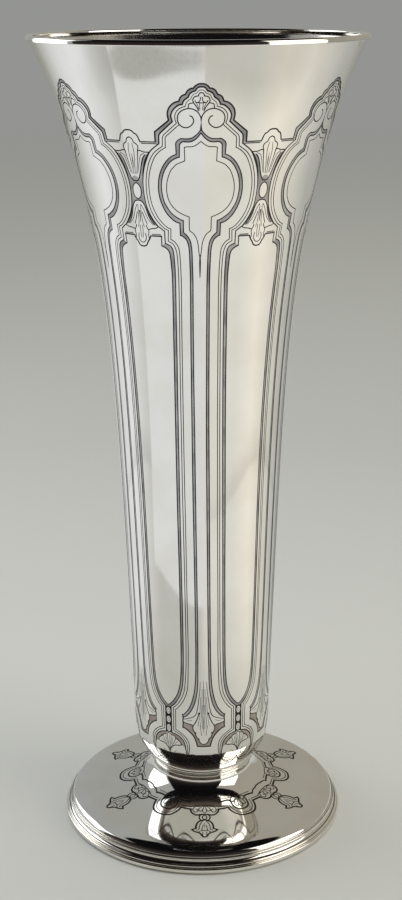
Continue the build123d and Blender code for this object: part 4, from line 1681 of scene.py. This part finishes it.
class VASE_OT_foot_rings(bpy.types.Operator):
    """Builds the base flange, the cove moulding and the reeded wire"""

    bl_idname = "vase.foot_rings"
    bl_label = "Foot rings"

    def execute(self, context):
        v, at = sizes(), Levels()
        bore, r, top = at.foot_bore, v.flange_radius, at.flange_top
        flange = [(bore, 0), *rounded((r, 0), (bore, 0), (r, top), v.flange_bottom_round),
                  *rounded((r, top), (r, 0), (bore, top), v.flange_top_round), (bore, top)]
        flange.insert(-1, (at.cove_bead_seat + SEAM_CUT, top))
        turned_piece("base_ring", flange, wire_material(), "foot_base_flange",
                     WIRE_COLUMNS, [(at.cove_bead_seat + SEAM_MIDDLE, top)])
        seat, high = at.cove_bead_seat, at.cove_top
        bead_top = top + v.cove_bead_height
        hollow = ((seat + at.cove_top_radius) / 2 - v.cove_depth, (bead_top + high) / 2)
        cove = [(bore, top), *bead(seat, top, bead_top),
                *arc((seat, bead_top), hollow, (at.cove_top_radius, high)), (bore, high)]
        turned_piece("cove_ring", cove, wire_material(), "foot_cove_moulding",
                     WIRE_COLUMNS, [(seat, top), (seat, bead_top), (at.cove_top_radius, high)])
        reeds = [(bore, high), *bead(at.cove_top_radius, high, at.reed_middle),
                 *bead(at.dome_edge, at.reed_middle, at.reed_top), (bore, at.reed_top)]
        turned_piece("reeded_ring", reeds, wire_material(), "foot_reeded_wire",
                     WIRE_COLUMNS, [(at.cove_top_radius, high), (at.cove_top_radius, at.reed_middle),
                                    (at.dome_edge, at.reed_middle), (at.dome_edge, at.reed_top)])
        return {"FINISHED"}


class VASE_OT_disc(bpy.types.Operator):
    """Builds the disc that closes the trumpet's lower end"""

    bl_idname = "vase.disc"
    bl_label = "Closing disc"

    def execute(self, context):
        v, at = sizes(), Levels()
        low, high = at.trumpet_base + v.sheet, at.trumpet_base + 2 * v.sheet
        radius, dish = v.disc_radius, v.disc_dish
        # slightly dished, with a rounded upper edge where the solder runs
        edge = rounded((radius, high), (radius, low), (0, high), v.disc_round, 5)
        profile = [(0, low), (radius, low), *edge, (radius * 0.8, high - dish / 3),
                   (radius * 0.5, high - dish * 0.8), (radius * 0.2, high - dish), (0, high - dish)]
        turned_piece("closing_disc", profile, sheet_materials()[WALL], "bottom_disc",
                     DISC_COLUMNS)
        return {"FINISHED"}


class VASE_OT_stage(bpy.types.Operator):
    """Builds the sheet of paper, the cards, the lamps, the world and the camera"""

    bl_idname = "vase.stage"
    bl_label = "Stage"

    def execute(self, context):
        context.scene.view_settings.view_transform = "Standard"
        make_floor()
        make_table_glow()
        make_dark_room()
        for settings in SOFTBOXES:
            softbox(*settings)
        make_world()
        make_camera()
        return {"FINISHED"}


OPERATORS = [VASE_OT_trumpet, VASE_OT_foot, VASE_OT_wires, VASE_OT_foot_rings, VASE_OT_disc, VASE_OT_stage]


class VASE_PT_panel(bpy.types.Panel):
    """Lists the pieces and their settings"""

    bl_label = "Trumpet vase"
    bl_idname = "VASE_PT_panel"
    bl_space_type = "VIEW_3D"
    bl_region_type = "UI"
    bl_category = "Vase"

    def draw(self, context):
        for operator in OPERATORS:
            self.layout.operator(operator.bl_idname)
        for name, group in (SIZES, ETCHING, FINISH, STAGE):
            box = self.layout.box()
            for setting in group.__annotations__:
                box.prop(getattr(context.scene, name), setting)


CLASSES = [VaseSizes, EtchingSettings, FinishColours, StageSettings, *OPERATORS, VASE_PT_panel]


def register():
    for cls in CLASSES:
        bpy.utils.register_class(cls)
    for name, group in (SIZES, ETCHING, FINISH, STAGE):
        setattr(bpy.types.Scene, name, PointerProperty(type=group))


def unregister():
    for name, _ in (SIZES, ETCHING, FINISH, STAGE):
        delattr(bpy.types.Scene, name)
    for cls in reversed(CLASSES):
        bpy.utils.unregister_class(cls)


def main():
    register()
    bpy.ops.vase.trumpet()
    bpy.ops.vase.foot()
    bpy.ops.vase.wires()
    bpy.ops.vase.foot_rings()
    bpy.ops.vase.disc()
    bpy.ops.vase.stage()


if __name__ == "__main__":
    main()
